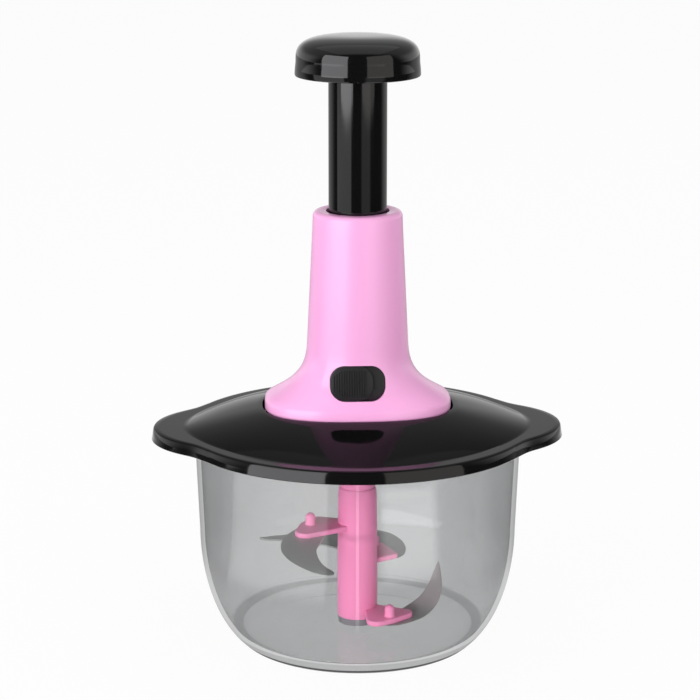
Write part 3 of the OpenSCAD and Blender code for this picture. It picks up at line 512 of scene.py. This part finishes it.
def make_bowl():
    edge = BOWL_FLOOR_Z + 2.2
    heights = [BOWL_KNEE_Z * (i / 26) ** 1.35 for i in range(1, 27)] + [70, 82, 94]
    inside = bowl_in(edge)
    foot_r, brim_r, boss_top = BOWL_BASE_R - FOOT_W, BOWL_TOP_R - BOWL_WALL, BOWL_FLOOR_Z + PIN_BOSS_H
    profile = [(0, FOOT_H), (30, FOOT_H), (foot_r - 2.2, FOOT_H), (foot_r - 0.6, FOOT_H - 0.6)]
    profile += [(foot_r, 0.3), (foot_r + 0.4, 0.02), (BOWL_BASE_R - 0.8, 0.02)]
    profile += [(bowl_out(z), z) for z in heights]
    profile += [(BOWL_TOP_R - 0.02, BOWL_H - 0.5), (BOWL_TOP_R - 0.4, BOWL_H - 0.05)]
    profile += [(brim_r + 0.4, BOWL_H - 0.05), (brim_r, BOWL_H - 0.5)]
    profile += [(bowl_in(z), z) for z in reversed(heights) if z > edge + 0.6]
    profile += [(inside, edge), (inside - 0.75, edge - 0.7), (inside - 1.7, edge - 1.35)]
    profile += [(inside - 3.0, edge - 1.85), (inside - 4.6, edge - 2.12)]
    profile += [(inside - 6, BOWL_FLOOR_Z), (30, BOWL_FLOOR_Z)]
    profile += [(PIN_BOSS_R + 0.5, BOWL_FLOOR_Z), (PIN_BOSS_R, BOWL_FLOOR_Z + 0.5)]
    profile += [(PIN_BOSS_R, boss_top - 0.3), (PIN_BOSS_R - 0.3, boss_top)]
    profile += [(PIN_R + 0.1, boss_top), (PIN_R + 0.1, BOWL_FLOOR_Z), (0, BOWL_FLOOR_Z)]
    piece = turned("clear_bowl", profile, 256)
    return done(piece, 40, "bowl_body", ["bowl"], SMOKE)


# Knob and push tube
def make_knob():
    rise = KNOB_H - KNOB_SHOULDER
    steps = [0, 0.12, 0.25, 0.38, 0.5, 0.6, 0.69, 0.77, 0.83, 0.88, 0.92, 0.95, 0.97, 0.985, 0.994, 0.999]
    shoulder_r = KNOB_R - 0.55
    outside, inside = [], []
    for u in steps:
        r, h = shoulder_r * (1 - u**KNOB_SQUARE) ** (1 / KNOB_SQUARE), KNOB_SHOULDER + u * rise
        outside.append((r, h))
        inside.append((r * (shoulder_r - KNOB_WALL) / shoulder_r, h - (h - KNOB_SHOULDER) / rise * KNOB_WALL))
    edge = [(KNOB_R - KNOB_WALL, 0.6), (KNOB_R - 1.6, 0.1), (KNOB_R - 0.9, 0.0)]
    edge += [(KNOB_R - 0.3, 0.25), (KNOB_R - 0.02, 0.9), (KNOB_R - 0.2, 3.6)]
    profile = [(0, KNOB_H - KNOB_WALL)] + list(reversed(inside)) + edge + outside + [(0, KNOB_H)]
    cap = turned("press_knob", [(r, KNOB_Z + h) for r, h in profile], 192)
    top = KNOB_H - KNOB_WALL + 0.3
    socket = [(TUBE_R + 2.4, top), (TUBE_R + 2.4, 2.6), (TUBE_R + 2.0, 2.2)]
    socket += [(TUBE_R + 0.3, 2.2), (TUBE_R + 0.05, 2.5), (TUBE_R + 0.05, top)]
    ring = turned("socket", [(r, KNOB_Z + h) for r, h in socket], 96, endless=True)
    joined(cap, ring)
    return done(cap, 34, "plunger", ["knob"], BLACK)


def make_tube():
    low, high = (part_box("push_tube")[i].z / MM for i in (0, 1))
    bore = TUBE_R - TUBE_WALL
    profile = [(0, high - 2), (bore, high - 2), (bore, low + 0.3), (bore + 0.3, low)]
    profile += [(TUBE_R - 0.3, low), (TUBE_R, low + 0.3)]
    profile += [(TUBE_R, low + (high - low) * i / 8) for i in range(1, 8)]
    profile += [(TUBE_R, high - 0.3), (TUBE_R - 0.3, high), (0, high)]
    tube = turned("push_tube_shell", profile, 128)
    notch = TOWER_Z + SWITCH_Z + STROKE
    x0, x1, y0, y1 = SWITCH_X - LOCK_TRAVEL - 2.6, SWITCH_X - 1.0, -TUBE_R - 2, -TUBE_R + 1.95
    tool = plate("notch", [(x0, y0), (x1, y0), (x1, y1), (x0, y1)], notch - 2.1, notch + 2.1)
    cut(tube, tool)
    return done(tube, 34, "plunger", ["push_tube"], BLACK)


# Tower
def soft_min(a, b, k):
    return (a + b - math.sqrt((a - b) ** 2 + k * k)) / 2


# Flare at the foot: 30.7 where the flange stands 19.4 out from the cone, in proportion elsewhere
FITTED_FLARE, CONE_FOOT_R, FITTED_OVERHANG = 30.7, 26.4, 19.4
FLARE_FULL = FITTED_FLARE * (FLANGE_X - CONE_FOOT_R) / FITTED_OVERHANG


def straight(h):
    return TOWER_TOP_R + TOWER_TAPER * (TOWER_H - 3.6 - h)


def flare(h):
    if h >= FLARE_H:
        return 0.0
    return FLARE_FULL * (1 - max(0.0, h - RECESS_D) / (FLARE_H - RECESS_D)) ** 3.25


FLARE_Y_PART = (FLANGE_Y - straight(0)) / (FLANGE_X - straight(0))


def bell_x(h):
    return soft_min(straight(h) + flare(h), FLANGE_X + 0.3, 1.6)


def bell_y(h):
    return soft_min(straight(h) + flare(h) * FLARE_Y_PART, FLANGE_Y + 0.3, 1.6)


def bell_n(h):
    return 2 + (FLANGE_N - 2) * min(1.0, flare(h) / (0.6 * FLARE_FULL))


def bell(h, inset=0.0, wall=0.0):
    """A ring of the bell; wall gives the ring of its inside."""
    a, b = bell_x(h) - inset, bell_y(h) - inset
    if wall:
        a -= wall * math.sqrt(1 + (flare(h) - flare(h + 1)) ** 2)
        b -= wall
        a, b = min(a, FLANGE_X - wall - 1), min(b, FLANGE_Y - wall - 1)
    return oval_at(a, b, bell_n(h), TOWER_Z + h - (0.6 * wall if wall and h < FLARE_H else 0))


def pill(w, h, r, steps=10):
    """Outline of a flat shape with round corners."""
    x, y = w / 2 - r, h / 2 - r
    corners = (x, y, 0), (-x, y, 90), (-x, -y, 180), (x, -y, 270)
    return [p for cx, cy, start in corners for p in arc(cx, cy, r, start, start + 90, steps)]


def on_switch(piece, x=0.0):
    """Puts a piece that was drawn flat onto the leaning face of the switch."""
    object_mode()
    piece.rotation_euler = (math.radians(90 - SWITCH_TILT), 0, 0)
    piece.location = ((SWITCH_X + x) * MM, -bell_y(SWITCH_Z) * MM, (TOWER_Z + SWITCH_Z) * MM)
    select_only(piece)
    bpy.ops.object.transform_apply(location=True, rotation=True, scale=True)
    return piece


def make_tower():
    rings = [bell(0, 0.9), bell(0.1, 0.35), bell(0.4, 0.08), bell(0.9)]
    rings += [bell(FLANGE_LIP * 0.6 + (FLARE_H - FLANGE_LIP * 0.6) * (i / 24) ** 1.3) for i in range(25)]
    rings += [bell(h) for h in (42, 50, 60, 70, 80, 88)]
    top = TOWER_TOP_Z - TOWER_ROUND
    rings += [round_at(r, z) for r, z in arc(TOWER_TOP_R - TOWER_ROUND, top, TOWER_ROUND, 0, 90, 8)]
    rings += [round_at(TOWER_HOLE_R + 0.5, TOWER_TOP_Z), round_at(TOWER_HOLE_R + 0.12, TOWER_TOP_Z - 0.15)]
    rings += [round_at(TOWER_HOLE_R, TOWER_TOP_Z - 0.5), round_at(TOWER_HOLE_R, TOWER_TOP_Z - TOWER_WALL)]
    inner_top = straight(TOWER_H) - TOWER_WALL
    ceiling = TOWER_TOP_Z - TOWER_WALL
    rings += [round_at(inner_top - 0.4, ceiling), round_at(inner_top, ceiling - 0.4)]
    rings += [bell(h, wall=TOWER_WALL) for h in (80, 65, 50, 38, 30, 24, 19, 15, 11, 8, 5.5, 3.4)]
    rings += [oval_at(FLANGE_X - TOWER_WALL - 1, FLANGE_Y - TOWER_WALL - 1, FLANGE_N, TOWER_Z)]
    tower = grow("bell_tower", rings, 192, endless=True)
    tool = on_switch(plate("opening", pill(SWITCH_W, SWITCH_H, SWITCH_R), -9, 11))
    cut(tower, tool)
    return done(tower, 34, "lid_body", ["tower_shell"], PINK)


# Lock switch
PLATE_FACE = -2.1


def make_lock():
    outline = pill(SWITCH_W - 0.2, SWITCH_H - 0.2, SWITCH_R)
    back = on_switch(plate("lock_face", outline, PLATE_FACE - 2, PLATE_FACE, 0.1))
    slot_x = -SWITCH_W / 2 + BUTTON_W / 2 + LOCK_TRAVEL / 2 + 0.3
    half = (6 + LOCK_TRAVEL + 0.7) / 2
    hole = plate("slot", [(-half, -2.35), (half, -2.35), (half, 2.35), (-half, 2.35)], -10, 10)
    cut(back, on_switch(hole, slot_x))
    done(back, 34, "lid_body", ["lock_plate"], MATTE)

    button_x = -SWITCH_W / 2 + BUTTON_W / 2 + 0.3
    outline = pill(BUTTON_W, SWITCH_H - 0.7, SWITCH_R - 0.3)
    button = plate("ribbed_button", outline, PLATE_FACE + 0.1, PLATE_FACE + 1.75, 0.25)
    ribs = []
    for i in range(int((BUTTON_W - 5) / RIB_PITCH) + 1):
        x = -BUTTON_W / 2 + 1.6 + i * RIB_PITCH
        tall = (SWITCH_H - 4.5 - (max(0, 3 - i) * 1.6)) / 2
        outline = [(x - 0.3, -tall), (x + 0.3, -tall), (x + 0.3, tall), (x - 0.3, tall)]
        ribs.append(plate("rib", outline, PLATE_FACE + 1.6, PLATE_FACE + 2.2, 0.12, 1))
    neck = plate("neck", [(-3, -2), (3, -2), (3, 2), (-3, 2)], PLATE_FACE - 3.4, PLATE_FACE + 0.4)
    joined(button, neck, *ribs)
    on_switch(button, button_x)
    done(button, 34, "lock", ["lock_button"], MATTE)


# Lid
RECESS_X, RECESS_Y = FLANGE_X + RECESS_GAP, FLANGE_Y + RECESS_GAP


def edge_at(inset, z):
    """The lid's edge: an oval with a lobe blended in at each side."""

    def point(t):
        c, s = math.cos(t), math.sin(t)
        base = 1 / math.hypot(c / (LID_X - inset), s / (LID_R - inset))
        cx = EAR_REACH - EAR_R
        lobe = cx * abs(c) + math.sqrt(max(0.0, (EAR_R - inset) ** 2 - (cx * s) ** 2))
        r = (base + lobe + math.sqrt((base - lobe) ** 2 + EAR_BLEND**2)) / 2
        return (r * c, r * s, z)

    return point


def dome(u, drop=0.0, inset=0.0):
    a, b = DOME_X + (RECESS_X - DOME_X) * u, DOME_Y + (RECESS_Y - DOME_Y) * u
    z = LAND_Z - drop + (DOME_H + 0.01) * u + DOME_BULGE * 4 * u * (1 - u)
    return oval_at(a - inset, b - inset, DOME_N + (FLANGE_N - DOME_N) * u, z)


def mixed_at(first, second, share):
    """A ring that lies a share of the way from the first ring to the second."""

    def point(t):
        return tuple(a + (b - a) * share for a, b in zip(first(t), second(t)))

    return point


RATCHET_R, RATCHET_GAP, HOUSING_WALL, BUSH_SEAT_R = 15.0, 1.0, 3.4, 7.7
POST_R, SCREW_BORE_R, SCREW_BORE_H, POST_ANGLES = 4, 1.3, 9, (30, 150, 270)


def make_lid():
    crease, crest_z = dome(0), LAND_Z + DOME_H
    rings = [oval_at(RECESS_X, RECESS_Y, FLANGE_N, z) for z in (SEAT_Z, crest_z - 0.4)]
    rings += [oval_at(RECESS_X + 0.12, RECESS_Y + 0.12, FLANGE_N, crest_z - 0.1), dome(0.985)]
    rings += [dome(1 - i / 12) for i in range(1, 12)] + [dome(0.03), crease]
    rim = edge_at(LID_DRAFT + 1.0, LAND_Z)
    rings += [mixed_at(crease, rim, share) for share in (0.12, 0.5, 0.85)]
    rings += [rim, edge_at(LID_DRAFT + 0.4, LAND_Z - 0.2), edge_at(LID_DRAFT, LAND_Z - 0.8)]
    rings += [edge_at(LID_DRAFT * 0.5, LID_Z + 2.4), edge_at(0.02, LID_Z + 0.3), edge_at(0.35, LID_Z)]
    rings += [edge_at(LID_WALL, LID_Z + 0.1), edge_at(LID_WALL + 0.1, LAND_Z - LID_WALL)]
    lip = BOWL_TOP_R - BOWL_WALL
    rings += [round_at(BOWL_TOP_R + 0.35, LAND_Z - LID_WALL - 0.2), round_at(BOWL_TOP_R + 0.35, BOWL_H + 0.1)]
    rings += [round_at(lip - 0.5, BOWL_H + 0.1), round_at(lip - 0.5, LID_Z + 0.6)]
    rings += [round_at(lip - 2.6, LID_Z + 0.6), round_at(lip - 2.6, LAND_Z - LID_WALL)]

    def under(u):
        """A ring of the dome's underside, kept inside the lip."""
        shape = dome(u * 0.92, LID_WALL, 2.6)

        def point(t):
            x, y, z = shape(t)
            k = min(1.0, (lip - 4.6) / math.hypot(x, y))
            return (x * k, y * k, z)

        return point

    rings += [under(i / 8) for i in range(9)]
    housing_r = RATCHET_R + RATCHET_GAP
    boss = housing_r + HOUSING_WALL
    plate_z = SEAT_Z - LID_WALL
    rings += [oval_at(RECESS_X - 6, RECESS_Y - 4, FLANGE_N, plate_z), round_at(boss + 0.6, plate_z)]
    rings += [round_at(boss, plate_z - 0.6), round_at(boss, COVER_TOP_Z), round_at(housing_r, COVER_TOP_Z)]
    rings += [round_at(housing_r, BUSH_LOW_Z), round_at(BUSH_SEAT_R, BUSH_LOW_Z)]
    rings += [round_at(BUSH_SEAT_R, SEAT_Z), round_at(12, SEAT_Z)]
    rings += [oval_at(RECESS_X - 12, RECESS_Y - 10, 2.3, SEAT_Z)]
    lid = grow("domed_lid", rings, 512, endless=True)
    profile = [(SCREW_BORE_R, COVER_TOP_Z + SCREW_BORE_H), (SCREW_BORE_R, COVER_TOP_Z), (POST_R, COVER_TOP_Z)]
    profile += [(POST_R, plate_z + 0.3), (SCREW_BORE_R, plate_z + 0.3)]
    posts = []
    for angle in POST_ANGLES:
        post = turned("post", profile, 40, endless=True)
        posts.append(moved(post, *around(angle, boss + 2)))
    joined(lid, *posts)
    return done(lid, 30, "lid_body", ["lid_cover"], LID_BLACK)


# Return spring
def make_spring():
    """Round wire on the solid's own helix; the real spring flattens as the plunger goes down. The solid's
    wire has six sides and is 0.866 of its width high."""
    low, high = (corner.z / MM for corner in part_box("return_spring"))
    half = WIRE_R * 0.866
    start, end = low + half, high - half
    closed = WIRE_R * 2 + COIL_GAP

    def height(turn):
        if turn < 1:
            return start + turn * closed
        if turn > COIL_TURNS - 1:
            return end - (COIL_TURNS - turn) * closed
        return start + closed + (turn - 1) / (COIL_TURNS - 2) * (end - start - 2 * closed)

    def wire(turn):
        a, z = math.tau * turn, height(turn)

        def point(t):
            r = COIL_R + (WIRE_R - 0.02) * math.cos(t)
            return (r * math.cos(a), r * math.sin(a), z + (WIRE_R - 0.02) * math.sin(t))

        return point

    rings = [wire(0)] + [wire(i / 20) for i in range(COIL_TURNS * 20 + 1)] + [wire(COIL_TURNS)]
    coil = grow("coil_spring", rings, 10, start_closed=True, end_closed=True)
    done(coil, 60, "lid_body", ["return_spring"], STEEL)
    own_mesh(coil)
    return coil


# Blade hub
def make_hub():
    quarter = [math.radians(i * 10) for i in range(10)]
    wider = HUB_R - 0.35 - HUB_NECK_R
    shoulder = [(HUB_NECK_R + wider * math.cos(t), HUB_SHOULDER_Z - 5.5 + 5.5 * math.sin(t)) for t in quarter]
    flat_r = HEX_FLATS / 2 + HEX_GAP
    corner_r = flat_r / math.cos(math.radians(30))

    def socket(z):
        """A ring of the hexagon hole for the output shaft."""

        def point(t):
            u = (t - math.radians(30)) % math.radians(60) - math.radians(30)
            r = flat_r / math.cos(u)
            return (r * math.cos(t), r * math.sin(t), z)

        return point

    floor_z = HUB_TOP_Z - SOCKET_DEPTH
    rings = [round_at(0.002, floor_z), socket(floor_z), socket(HUB_TOP_Z - 0.4)]
    bore_r, low = PIN_R + PIN_GAP, HUB_LOW_Z
    profile = [(corner_r + 0.5, HUB_TOP_Z), (HUB_NECK_R - 0.8, HUB_TOP_Z)]
    profile += [(HUB_NECK_R - 0.15, HUB_TOP_Z - 0.6)] + shoulder[::-1]
    profile += [(HUB_R - 0.3, HUB_SHOULDER_Z - 9), (HUB_R - 0.12, 50), (HUB_R, low + 30), (HUB_R, low + 10)]
    profile += [(HUB_R, low + 0.6), (HUB_R - 0.2, low + 0.15), (HUB_R - 0.6, low), (HUB_R - 2.55, low)]
    profile += [(HUB_R - 2.55, low + 2.6), (bore_r, low + 2.6), (bore_r, PIN_BORE_Z), (0.002, PIN_BORE_Z)]
    rings += [round_at(r, z) for r, z in profile]
    hub = grow("blade_column", rings, 96, start_closed=True, end_closed=True)
    extra = []
    for name, (top, angle) in ARMS.items():
        circles = [(*around(angle + a, d), r) for a, d, r in LOBES[name]]
        extra.append(plate(name + "_arm", hull_of(circles), top - ARM_T, top, 0.7, 3))
        low, shank_r, dome_z = top - ARM_T - 1.7, PEG_R - 0.3, top + PEG_H - PEG_R
        profile = [(0, low), (PEG_R - 0.5, low), (shank_r, low + 0.2), (shank_r, top - ARM_T + 0.2)]
        profile += [(PEG_R + 0.5, top - 0.1), (PEG_R + 0.12, top + 0.3), (PEG_R, top + 0.8)]
        profile += [(PEG_R * math.cos(t), dome_z + PEG_R * math.sin(t)) for t in quarter[:9]]
        peg = turned(name + "_peg", profile + [(0, top + PEG_H)], 40)
        extra.append(moved(peg, *around(angle, PEG_POS)))
    joined(hub, *extra)
    return done(hub, 40, "blade_set", ["blade_hub"], HUB_PINK)


# Blades, drawn with the peg along X and the tip towards +Y
OUTER = {
    "high": (
        (24, -6.5), (29.5, -4.6), (33, -1.2), (38, 8), (41.1, 16.2), (43, 24), (43.8, 30.5),
        (43.9, 35.5), (43.3, 41.2), (42, 46.4), (39.8, 51.8), (37, 56.6), (33.9, 61), (30.8, 64.5),
        (28, 66.6), (25.4, 66.7),
    ),
    "middle": (
        (17.5, -13.6), (20.8, -15.7), (26.2, -15.8), (34.6, -13.4), (42.4, -9.3), (48.3, -4.6),
        (53.1, 1.1), (55.6, 6.5), (56.2, 12.5), (55.4, 20), (53, 28), (49, 35.5), (43.5, 42.4),
        (37.5, 48), (31.4, 53), (28, 57.3), (24.9, 60.8), (21.5, 63),
    ),
    "low": (
        (24, -7), (28.6, -4.4), (31, 0), (31.8, 8), (31.5, 15), (31.6, 20.7), (32, 23.9), (32.3, 26.4),
        (32, 28), (30.9, 29.6), (28.9, 30.9), (26.9, 32.2), (24.4, 33.4),
    ),
}
INNER = {
    "high": (
        (19.3, -5), (17, 0), (17.4, 6), (19.6, 12.5), (23.2, 22), (25.2, 26.8), (26.5, 31.1),
        (27.4, 37), (27.8, 44.3), (27.5, 51.7), (26.2, 58.2), (24.7, 62.4), (24.2, 65),
    ),
    "middle": (
        (16, -6), (16.4, 2), (17.4, 10), (19.4, 17.5), (21.5, 24), (22.6, 31), (23, 38), (22.5, 45),
        (21.2, 51.5), (20, 56.5), (19.3, 60), (20, 62.6),
    ),
    "low": (
        (18.6, -3.6), (16.4, 4), (15.6, 11.9), (15.6, 18.2), (16.7, 22.1), (18.9, 25.2), (20.9, 27.5),
        (22.3, 28.9), (22.9, 30.4), (23.6, 32.2),
    ),
}
# Width of the ground band, thickness left at the edge, and the side it is ground on
GROUND = {"high": (3.2, 0.25, 1), "middle": (4.5, 0.25, 1), "low": (4.6, 0.3, -1)}
BACK_ROUND = 0.12


def smooth(a, b, c, d, t):
    """The value at t between b and c, on a smooth curve through a, b, c and d."""
    line = 2 * b + (c - a) * t
    return 0.5 * (line + (2 * a - 5 * b + 4 * c - d) * t * t + (3 * b - a - 3 * c + d) * t**3)


def flowing(points, count):
    """Evenly spaced points on a smooth curve through the points."""
    fine = []
    for i in range(len(points) - 1):
        four = [points[max(0, i - 1)], points[i], points[i + 1], points[min(len(points) - 1, i + 2)]]
        for k in range(12):
            fine.append([smooth(*values, k / 12) for values in zip(*four)])
    fine.append(list(points[-1]))
    along = [0.0]
    for a, b in zip(fine, fine[1:]):
        along.append(along[-1] + math.dist(a, b))
    even, k = [], 0
    for i in range(count + 1):
        want = along[-1] * i / count
        while k < len(fine) - 2 and along[k + 1] < want:
            k += 1
        share = (want - along[k]) / (along[k + 1] - along[k])
        even.append([a + (b - a) * share for a, b in zip(fine[k], fine[k + 1])])
    return even


def bent(name, x, y, z):
    """Height and lean that the blade has at a place of its plan."""
    if name == "high" and x > BLADE_FOLD:
        lift = math.radians(BLADE_LIFT)
        return x - z * math.sin(lift), y, (x - BLADE_FOLD) * math.tan(lift) + z * math.cos(lift)
    if name == "low" and y > BEND_AT:
        a = math.asin(min(1.0, (y - BEND_AT) / BEND_R))
        a = min(a, math.radians(BEND_A))
        rise = BEND_R * (1 - math.cos(a)) + max(0.0, y - BEND_AT - BEND_R * math.sin(a)) * math.tan(a)
        return x, y - z * math.sin(a), rise + z * math.cos(a)
    return x, y, z


def make_blade(name, count=72):
    top, angle = ARMS[name]
    outer, inner = flowing(OUTER[name], count), flowing(INNER[name], count)
    wide, left, side = GROUND[name]
    turn = math.radians(angle)

    def section(k):
        (ox, oy), (ix, iy) = outer[k], inner[k]
        width = math.dist(outer[k], inner[k])
        band = min(wide, 0.55 * width) / width
        high = -BLADE_T * (1 - left) if side > 0 else 0
        low = -BLADE_T if side > 0 else -BLADE_T * left
        r = BACK_ROUND / width
        shape = [(0, -BACK_ROUND), (r, 0), (1 - band, 0), (1 - r, high), (1, (high + low) / 2), (1 - r, low)]
        shape += [(1 - band, -BLADE_T), (0.5 * (1 - band), -BLADE_T), (r, -BLADE_T)]
        shape += [(0, -BLADE_T + BACK_ROUND)]

        def point(t):
            share, z = shape[round(t / math.tau * len(shape)) % len(shape)]
            x, y, z = bent(name, ix + (ox - ix) * share, iy + (oy - iy) * share, z)
            c, s = math.cos(turn), math.sin(turn)
            return (x * c - y * s, x * s + y * c, top - ARM_T + z)

        return point

    blade = grow(name + "_sickle", [section(k) for k in range(count + 1)], 10, True, True)
    return done(blade, 24, "blade_set", [name + "_blade"], BLADE)


def hull_of(circles, steps=64):
    """Outline that wraps the circles, each given by its centre and radius."""
    points = []
    for i in range(steps):
        t = math.tau * i / steps
        points += [(x + r * math.cos(t), y + r * math.sin(t)) for x, y, r in circles]
    points = sorted(set((round(x, 4), round(y, 4)) for x, y in points))

    def turns_left(a, b, c):
        return (b[0] - a[0]) * (c[1] - a[1]) - (b[1] - a[1]) * (c[0] - a[0]) > 0

    def half(run):
        chain = []
        for p in run:
            while len(chain) > 1 and not turns_left(chain[-2], chain[-1], p):
                chain.pop()
            chain.append(p)
        return chain[:-1]

    return half(points) + half(points[::-1])


make_bowl()
make_knob()
make_tube()
make_tower()
make_lock()
make_lid()
make_spring()
make_hub()
for name in ARMS:
    make_blade(name)

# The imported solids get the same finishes
FINISHES = {
    "smoke_clear": SMOKE, "steel": STEEL, "grey_plastic": GREY, "hub_pink": HUB_PINK, "blade_steel": BLADE,
    "gloss_black": BLACK, "pink": PINK, "white_plastic": WHITE, "matte_black": MATTE,
}
for part in frame["record"]["subparts"]:
    node = frame["nodes"][part["node"]]
    node.data.materials.clear()
    node.data.materials.append(FINISHES[part["material_slot"]])


# Floor, room, lamps and camera, in metres and degrees
CAMERA_PLACE, CAMERA_DOWN, CAMERA_TURN = (-0.0647, -1.0901, 0.4223), 14.14, -3.2
CAMERA_LENS, CAMERA_SENSOR = 117.3, 36
DARK_SIDE, CEILING, DIFFUSE_SKY = 0.05, 0.45, 0.6
SEEN_WHITE, NEAR_GLOW, LEFT_GLOW, RIGHT_GLOW, STREAK_GLOW = 0.93, 0.22, 1.4, 2.4, 1.7


def make_floor():
    """Pale floor. The camera sees it almost white. For gloss it glows with painted reflections: white behind
    the object, and on the camera's side a dim patch near the object, a bright panel at each side and a narrow
    streak."""
    bpy.ops.mesh.primitive_plane_add(size=9, location=(0, 0, -0.0002))
    floor = fresh("floor")
    f = Finish("pale_floor")
    f.set(Base_Color=(0.9, 0.9, 0.9), Roughness=0.9, Specular_IOR_Level=0.1)
    x, y, _ = f.axes((0, 0, math.radians(-CAMERA_TURN)))
    angle = f.maths("ARCTAN2", x, y * -1.0)
    reach = f.maths("SQRT", x * x + y * y)
    near = f.ramp(reach, 0.1, 0.16, 1.0, 0.0)
    far = f.ramp(reach, 0.42, 0.5, 0.0, 1.0)
    left = f.fan(angle, -86, -20) * f.ramp(reach, 0.12, 0.17, 0.0, 1.0) * (1.0 - far)
    left = left + f.fan(angle, -86, -27) * far * 0.7
    right = f.fan(angle, 19, 45, 9) * f.ramp(reach, 0.17, 0.23, 0.0, 1.0)
    right = right * f.ramp(reach, 0.24, 0.42, 1.0, 0.18)
    streak = f.fan(angle, -0.9, 0.6, 0.3) * f.ramp(reach, 0.09, 0.11, 0.0, 1.0)
    streak = streak * f.ramp(reach, 0.3, 0.38, 1.0, 0.0)
    behind = f.ramp(f.maths("ABSOLUTE", angle), math.radians(98), math.radians(125), 0.0, 1.0)
    behind = behind * f.ramp(reach, 0.25, 0.9, 1.0, 0.45)
    path = f.nodes.new("ShaderNodeLightPath")
    seen = Value(f, path.outputs["Is Camera Ray"]) + Value(f, path.outputs["Is Transmission Ray"])
    glossy = Value(f, path.outputs["Is Glossy Ray"])
    # Glows that only gloss sees: painted reflections on the floor, which is no lamp
    mirrored = f.glow(DARK_SIDE)
    painted_reflection_glows = (near, NEAR_GLOW), (left, LEFT_GLOW), (right, RIGHT_GLOW), (streak, STREAK_GLOW), (behind, 1.0)
    for share, strength in painted_reflection_glows:
        mirrored = f.mix(share, mirrored, f.glow(strength))
    shown = f.mix(seen * SEEN_WHITE, Value(f, f.shader.outputs[0]), f.glow(1.0))
    f.feed(f.out.inputs["Surface"], f.mix(glossy, shown, mirrored))
    floor.data.materials.append(f.material)


def make_world():
    """White for the camera, even light on the object, and for gloss a room dark on the camera's side."""
    world = bpy.data.worlds.new("studio")
    bpy.context.scene.world = world
    world.use_nodes = True
    tree = world.node_tree
    back = tree.nodes["Background"]
    path = tree.nodes.new("ShaderNodeLightPath")

    def maths(kind, a, b):
        node = tree.nodes.new("ShaderNodeMath")
        node.operation = kind
        for socket, value in zip(node.inputs, (a, b)):
            if isinstance(value, (int, float)):
                socket.default_value = value
            else:
                tree.links.new(value, socket)
        return node.outputs[0]

    where = tree.nodes.new("ShaderNodeTexCoord")
    parts = tree.nodes.new("ShaderNodeSeparateXYZ")
    tree.links.new(where.outputs["Generated"], parts.inputs[0])

    def ramp(value, start, end, low, high):
        node = tree.nodes.new("ShaderNodeMapRange")
        node.interpolation_type = "SMOOTHSTEP"
        tree.links.new(value, node.inputs["Value"])
        for key, number in (("From Min", start), ("From Max", end), ("To Min", low), ("To Max", high)):
            node.inputs[key].default_value = number
        return node.outputs[0]

    back_and_up = maths("ADD", parts.outputs["Y"], maths("MULTIPLY", parts.outputs["Z"], 0.8))
    behind = ramp(back_and_up, -0.25, 0.4, 0, 1)
    sky = ramp(parts.outputs["Z"], 0.1, 0.42, 1.0 - DARK_SIDE, CEILING - DARK_SIDE)
    gloss = maths("ADD", maths("MULTIPLY", behind, sky), DARK_SIDE)
    clear = maths("MAXIMUM", path.outputs["Is Camera Ray"], path.outputs["Is Transmission Ray"])
    glossy = path.outputs["Is Glossy Ray"]
    even = maths("MULTIPLY", maths("SUBTRACT", 1, glossy), DIFFUSE_SKY)
    level = maths("ADD", maths("MULTIPLY", glossy, gloss), even)
    dark = maths("MULTIPLY", maths("SUBTRACT", 1, clear), level)
    tree.links.new(maths("ADD", dark, clear), back.inputs["Strength"])
    back.inputs["Color"].default_value = (1, 1, 1, 1)


def aim_at(light, place):
    light.rotation_euler = (Vector(place) - light.location).to_track_quat("-Z", "Y").to_euler()


def lamp(name, turn, away, height, aim, size, power, colour=(1, 1, 1)):
    """Area lamp at an angle from the camera's side, in degrees, and a distance from the axis."""
    a = math.radians(turn - 90 + CAMERA_TURN)
    place = Vector((away * math.cos(a), away * math.sin(a), height))
    bpy.ops.object.light_add(type="AREA", location=place)
    light = fresh(name)
    light.data.shape = "RECTANGLE"
    light.data.size, light.data.size_y = size
    light.data.energy = power
    light.data.color = colour
    aim_at(light, aim)


def hub_spot():
    """Narrow lamp low at the left that lights the hub and is not mirrored."""
    bpy.ops.object.light_add(type="SPOT", location=(-0.45, -1.2, 0.11))
    light = fresh("low_spot")
    light.data.energy = 39
    light.data.spot_size = math.radians(8.5)
    light.data.spot_blend = 0.5
    light.data.shadow_soft_size = 0.05
    light.visible_glossy = False
    aim_at(light, (0, 0, 0.028))


make_floor()
make_world()
lamp("left_panel", -44, 1.8, 0.75, (0, 0, 0.75), (1.7, 1.5), 26, (0.98, 0.97, 1.0))
lamp("right_panel", 42, 1.8, 0.75, (0, 0, 0.75), (1.7, 1.5), 7.5, (1.0, 0.96, 0.92))
lamp("top_panel", 0, 0.0, 2.2, (0, 0, 0.2), (3.0, 3.0), 8)
hub_spot()

looking = (math.radians(90 - CAMERA_DOWN), 0, math.radians(CAMERA_TURN))
bpy.ops.object.camera_add(location=CAMERA_PLACE, rotation=looking)
camera = bpy.context.object
camera.data.lens = CAMERA_LENS
camera.data.sensor_width = CAMERA_SENSOR
bpy.context.scene.camera = camera
bpy.context.scene.view_settings.view_transform = "Standard"
